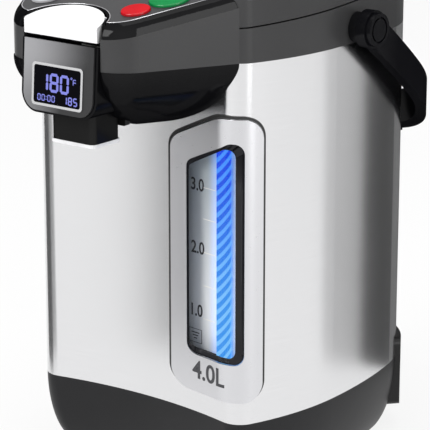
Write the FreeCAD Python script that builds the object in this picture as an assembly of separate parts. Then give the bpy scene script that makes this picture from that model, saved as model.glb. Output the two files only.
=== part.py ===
import FreeCAD, Part
import math
import os

from FreeCAD import Vector

# Electric thermo pot, millimetres, +Z up, the front faces -Y.
# The origin is on the table, on the upright axis of the body.

# Heights of the stack, from the table up
FOOT_PAD = 1.5
RING_TOP = 5.6
PLATE_BOTTOM = 6.0
PLATE_THICK = 3.0
BASE_HEIGHT = 54.0
STEEL_HEIGHT = 239.0

# Plan of the steel body: a hollow front, two ridges and bulged sides
HALF_WIDTH = 102.3
WIDEST_Y = -30.0
SIDE_FRONT_RADIUS = 186.0
SIDE_REAR_RADIUS = 373.0
FRONT_CENTRE_Y = -101.5
FRONT_CORNER_Y = -112.5
RIDGE_RADIUS = 14.0
REAR_CENTRE_Y = 107.5
REAR_CORNER_Y = 97.3
REAR_CORNER_RADIUS = 70.0
STEEL_WALL = 0.6

# Plan of the beak that carries the spout
BEAK_FRONT_Y = -180.0
BEAK_HALF_FRONT = 43.7
BEAK_HALF_REAR = 88.0
BEAK_REAR_Y = -98.0
BEAK_CORNER_RADIUS = 25.5
BEAK_TUCK = 25.0
BEAK_OVERLAP = 45.0

# Collar, panel and chin
COLLAR_WALL = 3.0
FLOOR_LIFT = 2.0
FLOOR_THICK = 3.0
LID_EDGE_RISE = 21.5
LID_EDGE_SLOPE = 0.0524
PANEL_SLOPE = 0.205
BEVEL_LOW_RISE = 20.2
PANEL_RISE = 28.9
BEVEL = 5.0
BEVEL_BULGE = 1.4
PANEL_THICK = 2.0
PANEL_GAP = 0.4
BEZEL_RING = 9.0
CHIN_DROP = 50.0
CHIN_WALL = 2.5
CHIN_POWER = 0.7
FIT_GAP = 0.3

# Spout head with its display
HEAD_HALF_WIDTH = 31.0
HEAD_FRONT_Y = -181.0
HEAD_DROP = 31.0
HEAD_RISE = 15.0
HEAD_BACK_Y = -128.0
HEAD_WALL = 2.0
HEAD_CORNER = 13.0
HEAD_LEAN = 3.2
FACE_MARGIN = 2.5
FACE_THICK = 1.2
DISPLAY_WIDTH = 41.6
DISPLAY_HEIGHT = 27.0
DISPLAY_DROP = 14.0
DISPLAY_FRAME = 1.6
DISPLAY_PROUD = 0.8
DISPLAY_CORNER = 2.5

# Nozzle
NOZZLE_HALF_WIDTH = 17.6
NOZZLE_FRONT_Y = -172.0
NOZZLE_BACK_Y = -145.5
NOZZLE_LENGTH = 18.8
BRACKET_HALF_WIDTH = 21.5
BRACKET_DEPTH = 4.5
BRACKET_HEIGHT = 10.8
NOZZLE_CORNER = 4.0
LIP_HEIGHT = 2.2
OUTLET_RADIUS = 5.0

# Release lever in its half-oval recess
LEVER_HALF_WIDTH = 29.8
LEVER_DEPTH = 24.0
LEVER_FRONT_HEIGHT = 9.5
LEVER_SLOPE = 0.29
LEVER_SIDE_GAP = 1.2
LEVER_BACK_GAP = 1.6
SURROUND_WALL = 2.0
LEVER_PIN_Y = -163.0
LEVER_PIN_DROP = 3.5
LEVER_PIN_RADIUS = 1.5
PIN_CLEARANCE = 0.05

# Buttons: centre x, centre y, radius
BUTTONS = {
    "dispense_button": (45.6, -130.4, 12.8),
    "reboil_button": (37.0, -152.6, 9.2),
    "unlock_button": (-45.6, -130.4, 12.8),
    "timer_button": (-37.0, -152.6, 9.2),
}
BUTTON_GAP = 0.3
BUTTON_PROUD = 1.6
BUTTON_TRAVEL = 1.2
BUTTON_DEPTH = 5.0
BUTTON_FLANGE = 0.6
BUTTON_FLANGE_THICK = 1.0
BOARD_DROP = 10.0
BOARD_THICK = 1.6
BOARD_MARGIN = 16.4
BOARD_FRONT = 11.4
BOARD_DEPTH = 40.0
SWITCH_RADIUS = 2.5
SWITCH_GAP = 0.4

# Lid
LID_RISE = 53.0
LID_CROWN_Y = -15.0
LID_CROWN_RADIUS = 1200.0
LID_EDGE_FILLET = 8.0
LID_GAP = 1.0
LID_FRONT_GAP = 0.7
LID_WALL = 2.5
PLUG_RADIUS = 76.0
PLUG_LIFT = 6.0
LINER_RADIUS = 90.0
LINER_LIFT = 32.0
GASKET_WIDTH = 3.0
GASKET_HEIGHT = 4.0
VENT_RADIUS = 13.0
VENT_Y = 55.0
VENT_PROUD = 1.8
HINGE_OUT = 0.5
HINGE_LIFT = 28.0
HINGE_RADIUS = 5.5
HINGE_PIN_RADIUS = 2.2
HINGE_HALF = 30.0
HINGE_MIDDLE = 10.0
HINGE_END_GAP = 0.5

# Carrying handle, a bail that follows the body round its rear
HANDLE_TILT = 34.0
HANDLE_AXIS_Y = -8.0
HANDLE_AXIS_LIFT = 10.0
HANDLE_GAP = 6.5
HANDLE_THICK = 7.5
HANDLE_WIDTH = 20.0
HANDLE_REAR_SHIFT = 6.0
GRIP_HALF_WIDTH = 52.0
GRIP_THICK = 3.0
EYE_RADIUS = 12.5
BOSS_RADIUS = 10.0
PIVOT_RADIUS = 4.0
CAP_THICK = 3.5
CAP_RADIUS = 11.0

# Water gauge on the right ridge, drawn on a plane turned toward it
GAUGE_TURN = 38.0
GAUGE_LEFT = -45.1
GAUGE_RIGHT = 14.4
GAUGE_BOTTOM = 16.4
GAUGE_TOP = 204.0
GAUGE_STEP_X = -14.0
GAUGE_STEP_Z = 184.0
GAUGE_CORNER = 13.0
GAUGE_RAISE = 5.0
GASKET_RIM = 1.3
WINDOW_LEFT = -34.7
WINDOW_RIGHT = 2.5
WINDOW_BOTTOM = 42.0
WINDOW_TOP = 188.5
WINDOW_STEP_X = -8.0
WINDOW_STEP_Z = 171.0
WINDOW_CORNER = 7.0
WINDOW_THICK = 1.5
WINDOW_SINK = 1.2
SCALE_DEPTH = 7.0
SCALE_THICK = 1.5
SCALE_MARGIN = 3.0
TUBE_U = -10.7
TUBE_RADIUS = 4.7
TUBE_WALL = 1.0
TUBE_SINK = 4.3
TUBE_LIFT = 34.0
TUBE_LENGTH = 153.0
TUBE_SLOT = 1.5
ELBOW = 6.0
ELBOW_INWARD = 16.0

# Base
BASE_INSET = 16.0
BASE_WALL = 2.5
RING_OUTER = 76.0
RING_INNER = 58.0
WEB_THICK = 1.2
CENTRE_PAD_RADIUS = 12.0
SPIGOT_RADIUS = 57.5
PAD_RADIUS = 6.0
INLET_TURN = 140.0
INLET_WIDTH = 46.0
INLET_LOW = 16.0
INLET_HIGH = 66.0
INLET_PROUD = 3.5
INLET_DEPTH = 22.0
SOCKET_WIDTH = 34.0
SOCKET_HEIGHT = 18.0
SOCKET_DEPTH = 12.0
SOCKET_Z = 40.0
INLET_PIN_RADIUS = 2.0
INLET_PIN_SPACING = 14.0
INLET_PIN_LENGTH = 8.0
SCREW_RADIUS = 3.5
SCREW_PITCH = 80.0
SCREW_FRONT = 26.0
SCREW_REAR = 20.0
SCREW_HEAD = 1.5
SCREW_SHANK = 9.0

# Inside
POT_Y = 8.0
POT_RADIUS = 83.0
POT_WALL = 1.0
POT_LIFT = 20.0
POT_CORNER = 12.0
POT_SEAM = 8.0
POT_FLANGE = 3.5
SHIELD_GAP = 5.0
SHIELD_WALL = 0.6
HEATER_RADIUS = 60.0
HEATER_THICK = 8.0
THERMOSTAT_RADIUS = 9.0
THERMOSTAT_HEIGHT = 8.0
PUMP_X = 30.0
PUMP_Y = -42.0
PUMP_RADIUS = 20.0
PUMP_HEIGHT = 16.0
MOTOR_RADIUS = 15.0
MOTOR_HEIGHT = 26.0
PIPE_RADIUS = 4.5
PIPE_WALL = 1.0
PIPE_BEND = 6.0
PIPE_LIFT = 9.0
MAIN_BOARD = (-72.0, 20.0, 60.0, 44.0)
POST_RADIUS = 3.0
POST_HEIGHT = 8.0
POST_EDGE = 5.0

# Worked-out heights
PART_Z = BASE_HEIGHT + STEEL_HEIGHT
FLOOR_BOTTOM = PART_Z + FLOOR_LIFT
FLOOR_TOP = FLOOR_BOTTOM + FLOOR_THICK
POT_RIM = FLOOR_TOP + 1.2
LID_EDGE_Z = PART_Z + LID_EDGE_RISE
PANEL_Z = PART_Z + PANEL_RISE
BEVEL_LOW_Z = PART_Z + BEVEL_LOW_RISE
HEAD_BOTTOM = PART_Z - HEAD_DROP
HEAD_TOP = PART_Z + HEAD_RISE
HANDLE_AXIS_Z = PART_Z + HANDLE_AXIS_LIFT
LID_TOP = PART_Z + LID_RISE
PLUG_BOTTOM = PART_Z + PLUG_LIFT
LINER_BOTTOM = PART_Z + LINER_LIFT
HINGE_Y = REAR_CENTRE_Y + HINGE_OUT
HINGE_Z = PART_Z + HINGE_LIFT
PIPE_LEVEL = PART_Z + PIPE_LIFT
TUBE_LOW = BASE_HEIGHT + TUBE_LIFT
TUBE_HIGH = TUBE_LOW + TUBE_LENGTH
POT_BOTTOM = BASE_HEIGHT + POT_LIFT
SKY = LID_TOP + 40.0
FAR = 400.0


def box(x0, x1, y0, y1, z0, z1):
    return Part.makeBox(x1 - x0, y1 - y0, z1 - z0, Vector(x0, y0, z0))


def cylinder(radius, height, base, axis=(0, 0, 1)):
    return Part.makeCylinder(radius, height, Vector(*base), Vector(*axis))


def tube(outer, inner, height, base, axis=(0, 0, 1)):
    return cylinder(outer, height, base, axis).cut(cylinder(inner, height, base, axis))


def arc(first, middle, last):
    return Part.Arc(Vector(*first), Vector(*middle), Vector(*last)).toShape()


def wire_face(edges):
    return Part.Face(Part.Wire(edges))


def polygon_face(points):
    return Part.Face(Part.makePolygon([Vector(*p) for p in points + points[:1]]))


def upright_edges(solid, tests):
    """Vertical edges whose (x, y) place passes one of the tests."""
    found = []
    for edge in solid.Edges:
        low = edge.Vertexes[0].Point
        high = edge.Vertexes[-1].Point
        level = abs(low.x - high.x) + abs(low.y - high.y) < 1e-4
        if level and abs(low.z - high.z) > 0.5 and tests(low.x, low.y):
            found.append(edge)
    return found


def bottom_face(solid):
    return min(solid.Faces, key=lambda face: face.CenterOfMass.z)


def raised(face, z0, z1):
    moved = face.copy()
    moved.translate(Vector(0, 0, z0 - face.BoundBox.ZMin))
    return moved.extrude(Vector(0, 0, z1 - z0))


def side_x(y):
    radius = SIDE_FRONT_RADIUS if y < WIDEST_Y else SIDE_REAR_RADIUS
    return HALF_WIDTH - radius + math.sqrt(radius ** 2 - (y - WIDEST_Y) ** 2)


def meeting(first, first_radius, second, second_radius, side):
    """Where two circles meet, on one side of the line between their centres."""
    gap = second - first
    along = (first_radius ** 2 - second_radius ** 2 + gap.Length ** 2) / (2 * gap.Length)
    across = math.sqrt(first_radius ** 2 - along ** 2)
    unit = Vector(gap.x, gap.y, 0).normalize()
    return first + unit * along + Vector(-unit.y, unit.x, 0) * (side * across)


def toward(start, target, distance):
    step = target - start
    return start + step.normalize() * distance


def circle_arc(centre, radius, first, last):
    """The arc between two points of a circle, the short way round."""
    middle = toward(centre, (first + last) * 0.5, radius)
    return Part.Arc(first, middle, last).toShape()


def mirrored(point):
    return Vector(-point.x, point.y, point.z)


def plan_face(offset):
    """The plan of the body, moved outward: ten tangent arcs."""
    front_x = side_x(FRONT_CORNER_Y)
    rear_x = side_x(REAR_CORNER_Y)
    front_sag = FRONT_CENTRE_Y - FRONT_CORNER_Y
    rear_sag = REAR_CENTRE_Y - REAR_CORNER_Y
    front_radius = (front_x ** 2 + front_sag ** 2) / (2 * front_sag)
    rear_radius = (rear_x ** 2 + rear_sag ** 2) / (2 * rear_sag)
    front_centre = Vector(0, FRONT_CENTRE_Y - front_radius, 0)
    rear_centre = Vector(0, REAR_CENTRE_Y - rear_radius, 0)
    side_front = Vector(HALF_WIDTH - SIDE_FRONT_RADIUS, WIDEST_Y, 0)
    side_rear = Vector(HALF_WIDTH - SIDE_REAR_RADIUS, WIDEST_Y, 0)
    ridge = meeting(front_centre, front_radius + RIDGE_RADIUS,
                    side_front, SIDE_FRONT_RADIUS - RIDGE_RADIUS, -1)
    corner = meeting(rear_centre, rear_radius - REAR_CORNER_RADIUS,
                     side_rear, SIDE_REAR_RADIUS - REAR_CORNER_RADIUS, 1)
    if corner.x < 0:
        corner = meeting(rear_centre, rear_radius - REAR_CORNER_RADIUS,
                         side_rear, SIDE_REAR_RADIUS - REAR_CORNER_RADIUS, -1)
    if ridge.x < 0:
        ridge = meeting(front_centre, front_radius + RIDGE_RADIUS,
                        side_front, SIDE_FRONT_RADIUS - RIDGE_RADIUS, 1)
    ridge_front = toward(ridge, front_centre, RIDGE_RADIUS + offset)
    ridge_side = toward(side_front, ridge, SIDE_FRONT_RADIUS + offset)
    widest = Vector(HALF_WIDTH + offset, WIDEST_Y, 0)
    corner_side = toward(side_rear, corner, SIDE_REAR_RADIUS + offset)
    corner_rear = toward(rear_centre, corner, rear_radius + offset)
    right = [
        (ridge, RIDGE_RADIUS, ridge_front, ridge_side),
        (side_front, SIDE_FRONT_RADIUS, ridge_side, widest),
        (side_rear, SIDE_REAR_RADIUS, widest, corner_side),
        (corner, REAR_CORNER_RADIUS, corner_side, corner_rear),
    ]
    edges = [Part.Arc(mirrored(ridge_front), Vector(0, FRONT_CENTRE_Y - offset, 0), ridge_front).toShape()]
    for centre, radius, first, last in right:
        edges.append(circle_arc(centre, radius + offset, first, last))
    edges.append(Part.Arc(corner_rear, Vector(0, REAR_CENTRE_Y + offset, 0), mirrored(corner_rear)).toShape())
    for centre, radius, first, last in reversed(right):
        edges.append(circle_arc(mirrored(centre), radius + offset, mirrored(last), mirrored(first)))
    return wire_face(edges)


def beak_face():
    """The plan of the beak, whose rear end lies inside the body."""
    points = [
        (-BEAK_HALF_FRONT, BEAK_FRONT_Y, 0),
        (BEAK_HALF_FRONT, BEAK_FRONT_Y, 0),
        (BEAK_HALF_REAR, BEAK_REAR_Y, 0),
        (BEAK_HALF_REAR - BEAK_TUCK, BEAK_REAR_Y + BEAK_OVERLAP, 0),
        (BEAK_TUCK - BEAK_HALF_REAR, BEAK_REAR_Y + BEAK_OVERLAP, 0),
        (-BEAK_HALF_REAR, BEAK_REAR_Y, 0),
    ]
    prism = polygon_face(points).extrude(Vector(0, 0, 10))
    front = upright_edges(prism, lambda x, y: y < BEAK_FRONT_Y + 1)
    prism = prism.makeFillet(BEAK_CORNER_RADIUS, front)
    return bottom_face(prism)


BODY_FACE = plan_face(0)
BEAK_FACE = beak_face()


def body_prism(offset, z0, z1):
    return raised(plan_face(offset), z0, z1)


def beak_prism(inset, z0, z1):
    face = BEAK_FACE if inset == 0 else Part.Face(BEAK_FACE.OuterWire.makeOffset2D(-inset))
    return raised(face, z0, z1)


def below(y, z, slope):
    """The half space under a plane that rises toward the rear, as a wedge."""
    low = z + slope * (-FAR - y)
    high = z + slope * (FAR - y)
    points = [(-FAR, -FAR, -FAR), (-FAR, FAR, -FAR), (-FAR, FAR, high), (-FAR, -FAR, low)]
    return polygon_face(points).extrude(Vector(2 * FAR, 0, 0))


def below_panel(z):
    return below(BEAK_FRONT_Y, z, PANEL_SLOPE)


def below_lid_edge(lift):
    return below(FRONT_CORNER_Y, LID_EDGE_Z + lift, LID_EDGE_SLOPE)


def panel_height(y):
    return PANEL_Z + PANEL_SLOPE * (y - BEAK_FRONT_Y)


def half_oval(half_width, depth, z0, z1):
    """An upright half ellipse whose flat side is the beak's front."""
    big = max(half_width, depth)
    small = min(half_width, depth)
    oval = Part.Ellipse(Vector(0, 0, 0), big, small).toShape()
    face = Part.Face(Part.Wire([oval]))
    if depth > half_width:
        face.rotate(Vector(0, 0, 0), Vector(0, 0, 1), 90)
    face.translate(Vector(0, HEAD_FRONT_Y, z0))
    return face.extrude(Vector(0, 0, z1 - z0))


def scaled_wire(face, centre, factor, z):
    """The outline of a plan, shrunk about a centre and set at a height."""
    matrix = FreeCAD.Matrix()
    matrix.move(Vector(-centre[0], -centre[1], 0))
    matrix.scale(factor, factor, 1)
    matrix.move(Vector(centre[0], centre[1], 0))
    wire = face.OuterWire.transformGeometry(matrix)
    wire.translate(Vector(0, 0, z - wire.BoundBox.ZMin))
    return wire


def gauge_face(left, right, low, high, step_x, step_z, corner):
    """An outline of the gauge on its own upright plane, with a slanted top left."""
    points = [(left, low), (right, low), (right, high), (step_x, high), (left, step_z)]
    turn = math.radians(GAUGE_TURN)
    away = 260.0

    def place(u, z):
        x = u * math.cos(turn) + away * math.sin(turn)
        y = u * math.sin(turn) - away * math.cos(turn)
        return (x, y, z + BASE_HEIGHT)

    face = polygon_face([place(u, z) for u, z in points])
    inward = Vector(-math.sin(turn), math.cos(turn), 0) * (away - 30)
    block = face.extrude(inward)
    edges = []
    for edge in block.Edges:
        ends = [vertex.Point for vertex in edge.Vertexes]
        if abs((ends[0] - ends[1]).normalize().dot(inward.normalize())) > 0.999:
            edges.append(edge)
    return block.makeFillet(corner, edges)


def gauge_block(margin=0.0):
    return gauge_face(GAUGE_LEFT - margin, GAUGE_RIGHT + margin, GAUGE_BOTTOM - margin,
                      GAUGE_TOP + margin, GAUGE_STEP_X - margin / 2, GAUGE_STEP_Z + margin / 2,
                      GAUGE_CORNER + margin)


def window_block(margin=0.0):
    return gauge_face(WINDOW_LEFT - margin, WINDOW_RIGHT + margin, WINDOW_BOTTOM - margin,
                      WINDOW_TOP + margin, WINDOW_STEP_X - margin / 2, WINDOW_STEP_Z + margin / 2,
                      WINDOW_CORNER + margin)


def skin(outer, inner):
    """A layer that follows the body, between two offsets, over the steel's height."""
    return body_prism(outer, BASE_HEIGHT, PART_Z).cut(body_prism(inner, BASE_HEIGHT, PART_Z))


def tube_place():
    """The gauge tube's axis, set back from the steel along the gauge's normal."""
    turn = math.radians(GAUGE_TURN)
    probe = Part.makeLine(Vector(TUBE_U * math.cos(turn), TUBE_U * math.sin(turn), 0),
                          Vector(TUBE_U * math.cos(turn) + 300 * math.sin(turn),
                                 TUBE_U * math.sin(turn) - 300 * math.cos(turn), 0))
    hit = BODY_FACE.OuterWire.distToShape(probe)[1][0][0]
    return (hit.x - TUBE_SINK * math.sin(turn), hit.y + TUBE_SINK * math.cos(turn))


TUBE_X, TUBE_Y = tube_place()


def elbow_place():
    """Where the gauge's two elbows turn upright again, inside the body."""
    turn = math.radians(GAUGE_TURN)
    return (TUBE_X - ELBOW_INWARD * math.sin(turn), TUBE_Y + ELBOW_INWARD * math.cos(turn))


ELBOW_X, ELBOW_Y = elbow_place()


def bent_path(points, radius):
    """Straight runs joined by tangent arcs of one radius."""
    corners = [Vector(*p) for p in points]
    edges = []
    start = corners[0]
    for before, corner, after in zip(corners, corners[1:], corners[2:]):
        back = (before - corner).normalize()
        ahead = (after - corner).normalize()
        half = back.getAngle(ahead) / 2
        reach = radius / math.tan(half)
        enter = corner + back * reach
        leave = corner + ahead * reach
        bisector = (back + ahead).normalize()
        middle = corner + bisector * (radius / math.sin(half) - radius)
        if start.distanceToPoint(enter) > 1e-6:
            edges.append(Part.makeLine(start, enter))
        edges.append(Part.Arc(enter, middle, leave).toShape())
        start = leave
    if start.distanceToPoint(corners[-1]) > 1e-6:
        edges.append(Part.makeLine(start, corners[-1]))
    return Part.Wire(edges)


def pipe(points, outer, inner):
    path = bent_path(points, PIPE_BEND)
    start = Vector(*points[0])
    direction = (Vector(*points[1]) - start).normalize()
    solids = []
    for radius in (outer, inner):
        profile = Part.Wire([Part.Circle(start, direction, radius).toShape()])
        solids.append(path.makePipeShell([profile], True, True))
    return solids[0].cut(solids[1])


def pipe_space(points, radius):
    path = bent_path(points, PIPE_BEND)
    start = Vector(*points[0])
    direction = (Vector(*points[1]) - start).normalize()
    profile = Part.Wire([Part.Circle(start, direction, radius).toShape()])
    return path.makePipeShell([profile], True, True)


SPOUT_X = 0.0
SPOUT_Y = (NOZZLE_FRONT_Y + NOZZLE_BACK_Y) / 2
SPOUT_ROUTE = [
    (TUBE_X, TUBE_Y, TUBE_HIGH),
    (TUBE_X, TUBE_Y, TUBE_HIGH + ELBOW),
    (ELBOW_X, ELBOW_Y, TUBE_HIGH + ELBOW),
    (ELBOW_X, ELBOW_Y, PIPE_LEVEL),
    (SPOUT_X, SPOUT_Y, PIPE_LEVEL),
    (SPOUT_X, SPOUT_Y, HEAD_BOTTOM),
]
PUMP_TOP = POT_BOTTOM - HEATER_THICK - 8.0
PUMP_LOW = PUMP_TOP - PUMP_HEIGHT
PUMP_MIDDLE = PUMP_LOW + PUMP_HEIGHT / 2
DELIVERY_ROUTE = [
    (PUMP_X, PUMP_Y - PUMP_RADIUS, PUMP_MIDDLE),
    (PUMP_X, PUMP_Y - PUMP_RADIUS - 18, PUMP_MIDDLE),
    (ELBOW_X, ELBOW_Y, PUMP_MIDDLE),
    (ELBOW_X, ELBOW_Y, TUBE_LOW - ELBOW),
    (TUBE_X, TUBE_Y, TUBE_LOW - ELBOW),
    (TUBE_X, TUBE_Y, TUBE_LOW),
]


def tube_slot():
    """Room for the gauge tube and its elbows in the steel and in the frame's back."""
    reach = ELBOW + PIPE_RADIUS + TUBE_SLOT
    return cylinder(TUBE_RADIUS + TUBE_SLOT / 2, TUBE_HIGH - TUBE_LOW + 2 * reach,
                    (TUBE_X, TUBE_Y, TUBE_LOW - reach))


def turned_box(width, near, far, z0, z1, turn):
    """A box that points outward at an angle from the front, round the axis."""
    block = box(-width / 2, width / 2, -far, -near, z0, z1)
    block.rotate(Vector(0, 0, 0), Vector(0, 0, 1), turn)
    return block


def inlet_distance():
    """How far the body's surface is from the axis at the inlet."""
    turn = math.radians(INLET_TURN)
    probe = Part.makeLine(Vector(0, 0, 0), Vector(300 * math.sin(turn), -300 * math.cos(turn), 0))
    hit = BODY_FACE.OuterWire.distToShape(probe)[1][0][0]
    return hit.Length


INLET_OUT = inlet_distance()


def outer_shell():
    shell = body_prism(0, BASE_HEIGHT, PART_Z).cut(body_prism(-STEEL_WALL, BASE_HEIGHT, PART_Z))
    shell = shell.cut(window_block(SCALE_MARGIN + 1)).cut(tube_slot())
    return shell.cut(inlet_block(FIT_GAP))


def inlet_block(margin):
    block = turned_box(INLET_WIDTH + 2 * margin, INLET_OUT - INLET_DEPTH - margin, INLET_OUT + 20,
                       INLET_LOW - margin, INLET_HIGH + margin, INLET_TURN)
    edges = []
    turn = math.radians(INLET_TURN)
    outward = Vector(math.sin(turn), -math.cos(turn), 0)
    for edge in block.Edges:
        run = (edge.Vertexes[1].Point - edge.Vertexes[0].Point).normalize()
        if abs(run.dot(outward)) > 0.99:
            edges.append(edge)
    return block.makeFillet(5.0 + margin, edges)


def base_loft(inset, top, bottom):
    """The skirt's volume: the body's plan drawn in along a quarter ellipse."""
    steps = 6
    wires = []
    for i in range(steps):
        share = i / (steps - 1)
        z = top + share * (bottom - top)
        drop = (BASE_HEIGHT - z) / (BASE_HEIGHT - PLATE_BOTTOM + 4)
        pull = BASE_INSET * (1 - math.sqrt(1 - drop ** 2)) + inset
        wires.append(scaled_wire(BODY_FACE, (0, 0), 1 - pull / HALF_WIDTH, z))
    return Part.makeLoft(wires, True, False)


def base_skirt():
    skirt = base_loft(0, BASE_HEIGHT, PLATE_BOTTOM)
    skirt = skirt.cut(base_loft(BASE_WALL, BASE_HEIGHT, PLATE_BOTTOM))
    return skirt.cut(inlet_block(FIT_GAP))


def base_plate():
    plate = base_loft(BASE_WALL, BASE_HEIGHT, PLATE_BOTTOM)
    plate = plate.common(box(-FAR, FAR, -FAR, FAR, 0, PLATE_BOTTOM + PLATE_THICK))
    low = FOOT_PAD + WEB_THICK + 0.4
    spigot = tube(SPIGOT_RADIUS, SPIGOT_RADIUS - 3, PLATE_BOTTOM - low, (0, 0, low))
    plate = plate.fuse(spigot).removeSplitter()
    for x, y in screw_places():
        plate = plate.cut(cylinder(SCREW_RADIUS + 0.2, 1.5, (x, y, PLATE_BOTTOM)))
        plate = plate.cut(cylinder(1.6, PLATE_THICK, (x, y, PLATE_BOTTOM)))
    return plate


def screw_places():
    half = SCREW_PITCH / 2
    return [(x, y) for x in (-half, half) for y in (-half - SCREW_FRONT, half + SCREW_REAR)]


def base_screws():
    solids = []
    for x, y in screw_places():
        head = cylinder(SCREW_RADIUS, SCREW_HEAD, (x, y, PLATE_BOTTOM))
        shank = cylinder(1.5, SCREW_SHANK, (x, y, PLATE_BOTTOM))
        slot = box(x - 2.2, x + 2.2, y - 0.4, y + 0.4, PLATE_BOTTOM, PLATE_BOTTOM + 0.8)
        solids.append(head.fuse(shank).removeSplitter().cut(slot))
    return Part.makeCompound(solids)


def swivel_ring():
    ring = tube(RING_OUTER, RING_INNER, RING_TOP - FOOT_PAD, (0, 0, FOOT_PAD))
    outer = [e for e in ring.Edges if abs(e.BoundBox.XMax - RING_OUTER) < 0.01
             and abs(e.BoundBox.ZMax - FOOT_PAD) < 0.01]
    web = cylinder(RING_INNER + 0.5, WEB_THICK, (0, 0, FOOT_PAD))
    return ring.makeChamfer(1.0, outer).fuse(web).removeSplitter()


def foot_pads():
    middle = (RING_OUTER + RING_INNER) / 2
    pads = [cylinder(CENTRE_PAD_RADIUS, FOOT_PAD, (0, 0, 0))]
    for i in range(4):
        turn = math.radians(45 + 90 * i)
        place = (middle * math.cos(turn), middle * math.sin(turn), 0)
        pads.append(cylinder(PAD_RADIUS, FOOT_PAD, place))
    return Part.makeCompound(pads)


def inlet_housing():
    block = inlet_block(0).common(body_prism(INLET_PROUD, 0, SKY))
    socket = turned_box(SOCKET_WIDTH, INLET_OUT + INLET_PROUD - SOCKET_DEPTH, INLET_OUT + 20,
                        SOCKET_Z - SOCKET_HEIGHT / 2, SOCKET_Z + SOCKET_HEIGHT / 2, INLET_TURN)
    return block.cut(socket)


def inlet_pins():
    pins = []
    floor = INLET_OUT + INLET_PROUD - SOCKET_DEPTH
    for side in (-1, 1):
        pin = cylinder(INLET_PIN_RADIUS, INLET_PIN_LENGTH,
                       (side * INLET_PIN_SPACING / 2, -floor, SOCKET_Z), (0, -1, 0))
        pin.rotate(Vector(0, 0, 0), Vector(0, 0, 1), INLET_TURN)
        pins.append(pin)
    return Part.makeCompound(pins)


def spout_notch(margin):
    half = HEAD_HALF_WIDTH + margin
    notch = box(-half, half, HEAD_FRONT_Y - 9, HEAD_BACK_Y, HEAD_BOTTOM - margin, SKY)
    low = [edge for edge in notch.Edges
           if edge.BoundBox.YLength > 40 and edge.CenterOfMass.z < HEAD_BOTTOM + 1]
    return notch.makeFillet(HEAD_CORNER + margin, low)


def lug_space():
    """Room in the collar's rear wall for the lid's two knuckles."""
    low = HINGE_Z - HINGE_RADIUS - 0.5
    left = box(-HINGE_HALF - 0.5, -HINGE_MIDDLE, REAR_CENTRE_Y - 12, FAR, low, SKY)
    right = box(HINGE_MIDDLE, HINGE_HALF + 0.5, REAR_CENTRE_Y - 12, FAR, low, SKY)
    return left.fuse(right)


def upper_collar():
    body = body_prism(0, PART_Z, SKY).common(below_lid_edge(0))
    beak = beak_prism(0, PART_Z, SKY).cut(body_prism(0, PART_Z, SKY)).common(below_panel(BEVEL_LOW_Z))
    collar = body.fuse(beak).removeSplitter()
    room = body_prism(-COLLAR_WALL, FLOOR_TOP, SKY)
    skirt_room = body_prism(-COLLAR_WALL, PART_Z, FLOOR_BOTTOM)
    beak_room = beak_prism(COLLAR_WALL, PART_Z, SKY).cut(body_prism(0, PART_Z, SKY))
    collar = collar.cut(room).cut(skirt_room).cut(beak_room)
    mouth = cylinder(POT_RADIUS + 1, SKY, (0, POT_Y, 0))
    collar = collar.cut(mouth).cut(spout_notch(FIT_GAP).cut(body_prism(0, 0, SKY)))
    collar = collar.cut(pipe_space(SPOUT_ROUTE, PIPE_RADIUS + 1)).cut(lug_space())
    lug = cylinder(HINGE_RADIUS, 2 * HINGE_MIDDLE - 2 * HINGE_END_GAP,
                   (-HINGE_MIDDLE + HINGE_END_GAP, HINGE_Y, HINGE_Z), (1, 0, 0))
    web = box(-HINGE_MIDDLE + HINGE_END_GAP, HINGE_MIDDLE - HINGE_END_GAP,
              REAR_CENTRE_Y - COLLAR_WALL, HINGE_Y + 3, HINGE_Z - 14, HINGE_Z)
    over = box(-HINGE_MIDDLE, HINGE_MIDDLE, REAR_CENTRE_Y - 12, FAR, HINGE_Z, SKY)
    collar = collar.cut(over).fuse(lug).fuse(web).removeSplitter()
    return collar.cut(cylinder(HINGE_PIN_RADIUS, 2 * FAR, (-FAR, HINGE_Y, HINGE_Z), (1, 0, 0)))


def chin_loft(inset, top):
    """The bowl under the beak: the beak's plan shrinking toward the steel."""
    steps = (0.985, 0.955, 0.9, 0.82, 0.7, 0.54, 0.34, 0.0)
    wires = []
    for share in steps:
        factor = (1 - share ** 2) ** CHIN_POWER
        z = PART_Z - CHIN_DROP + CHIN_DROP * (1 - share)
        if share == 0.0:
            z = top
        wires.append(chin_wire(factor, inset, z))
    return Part.makeLoft(wires, True, False)


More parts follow.
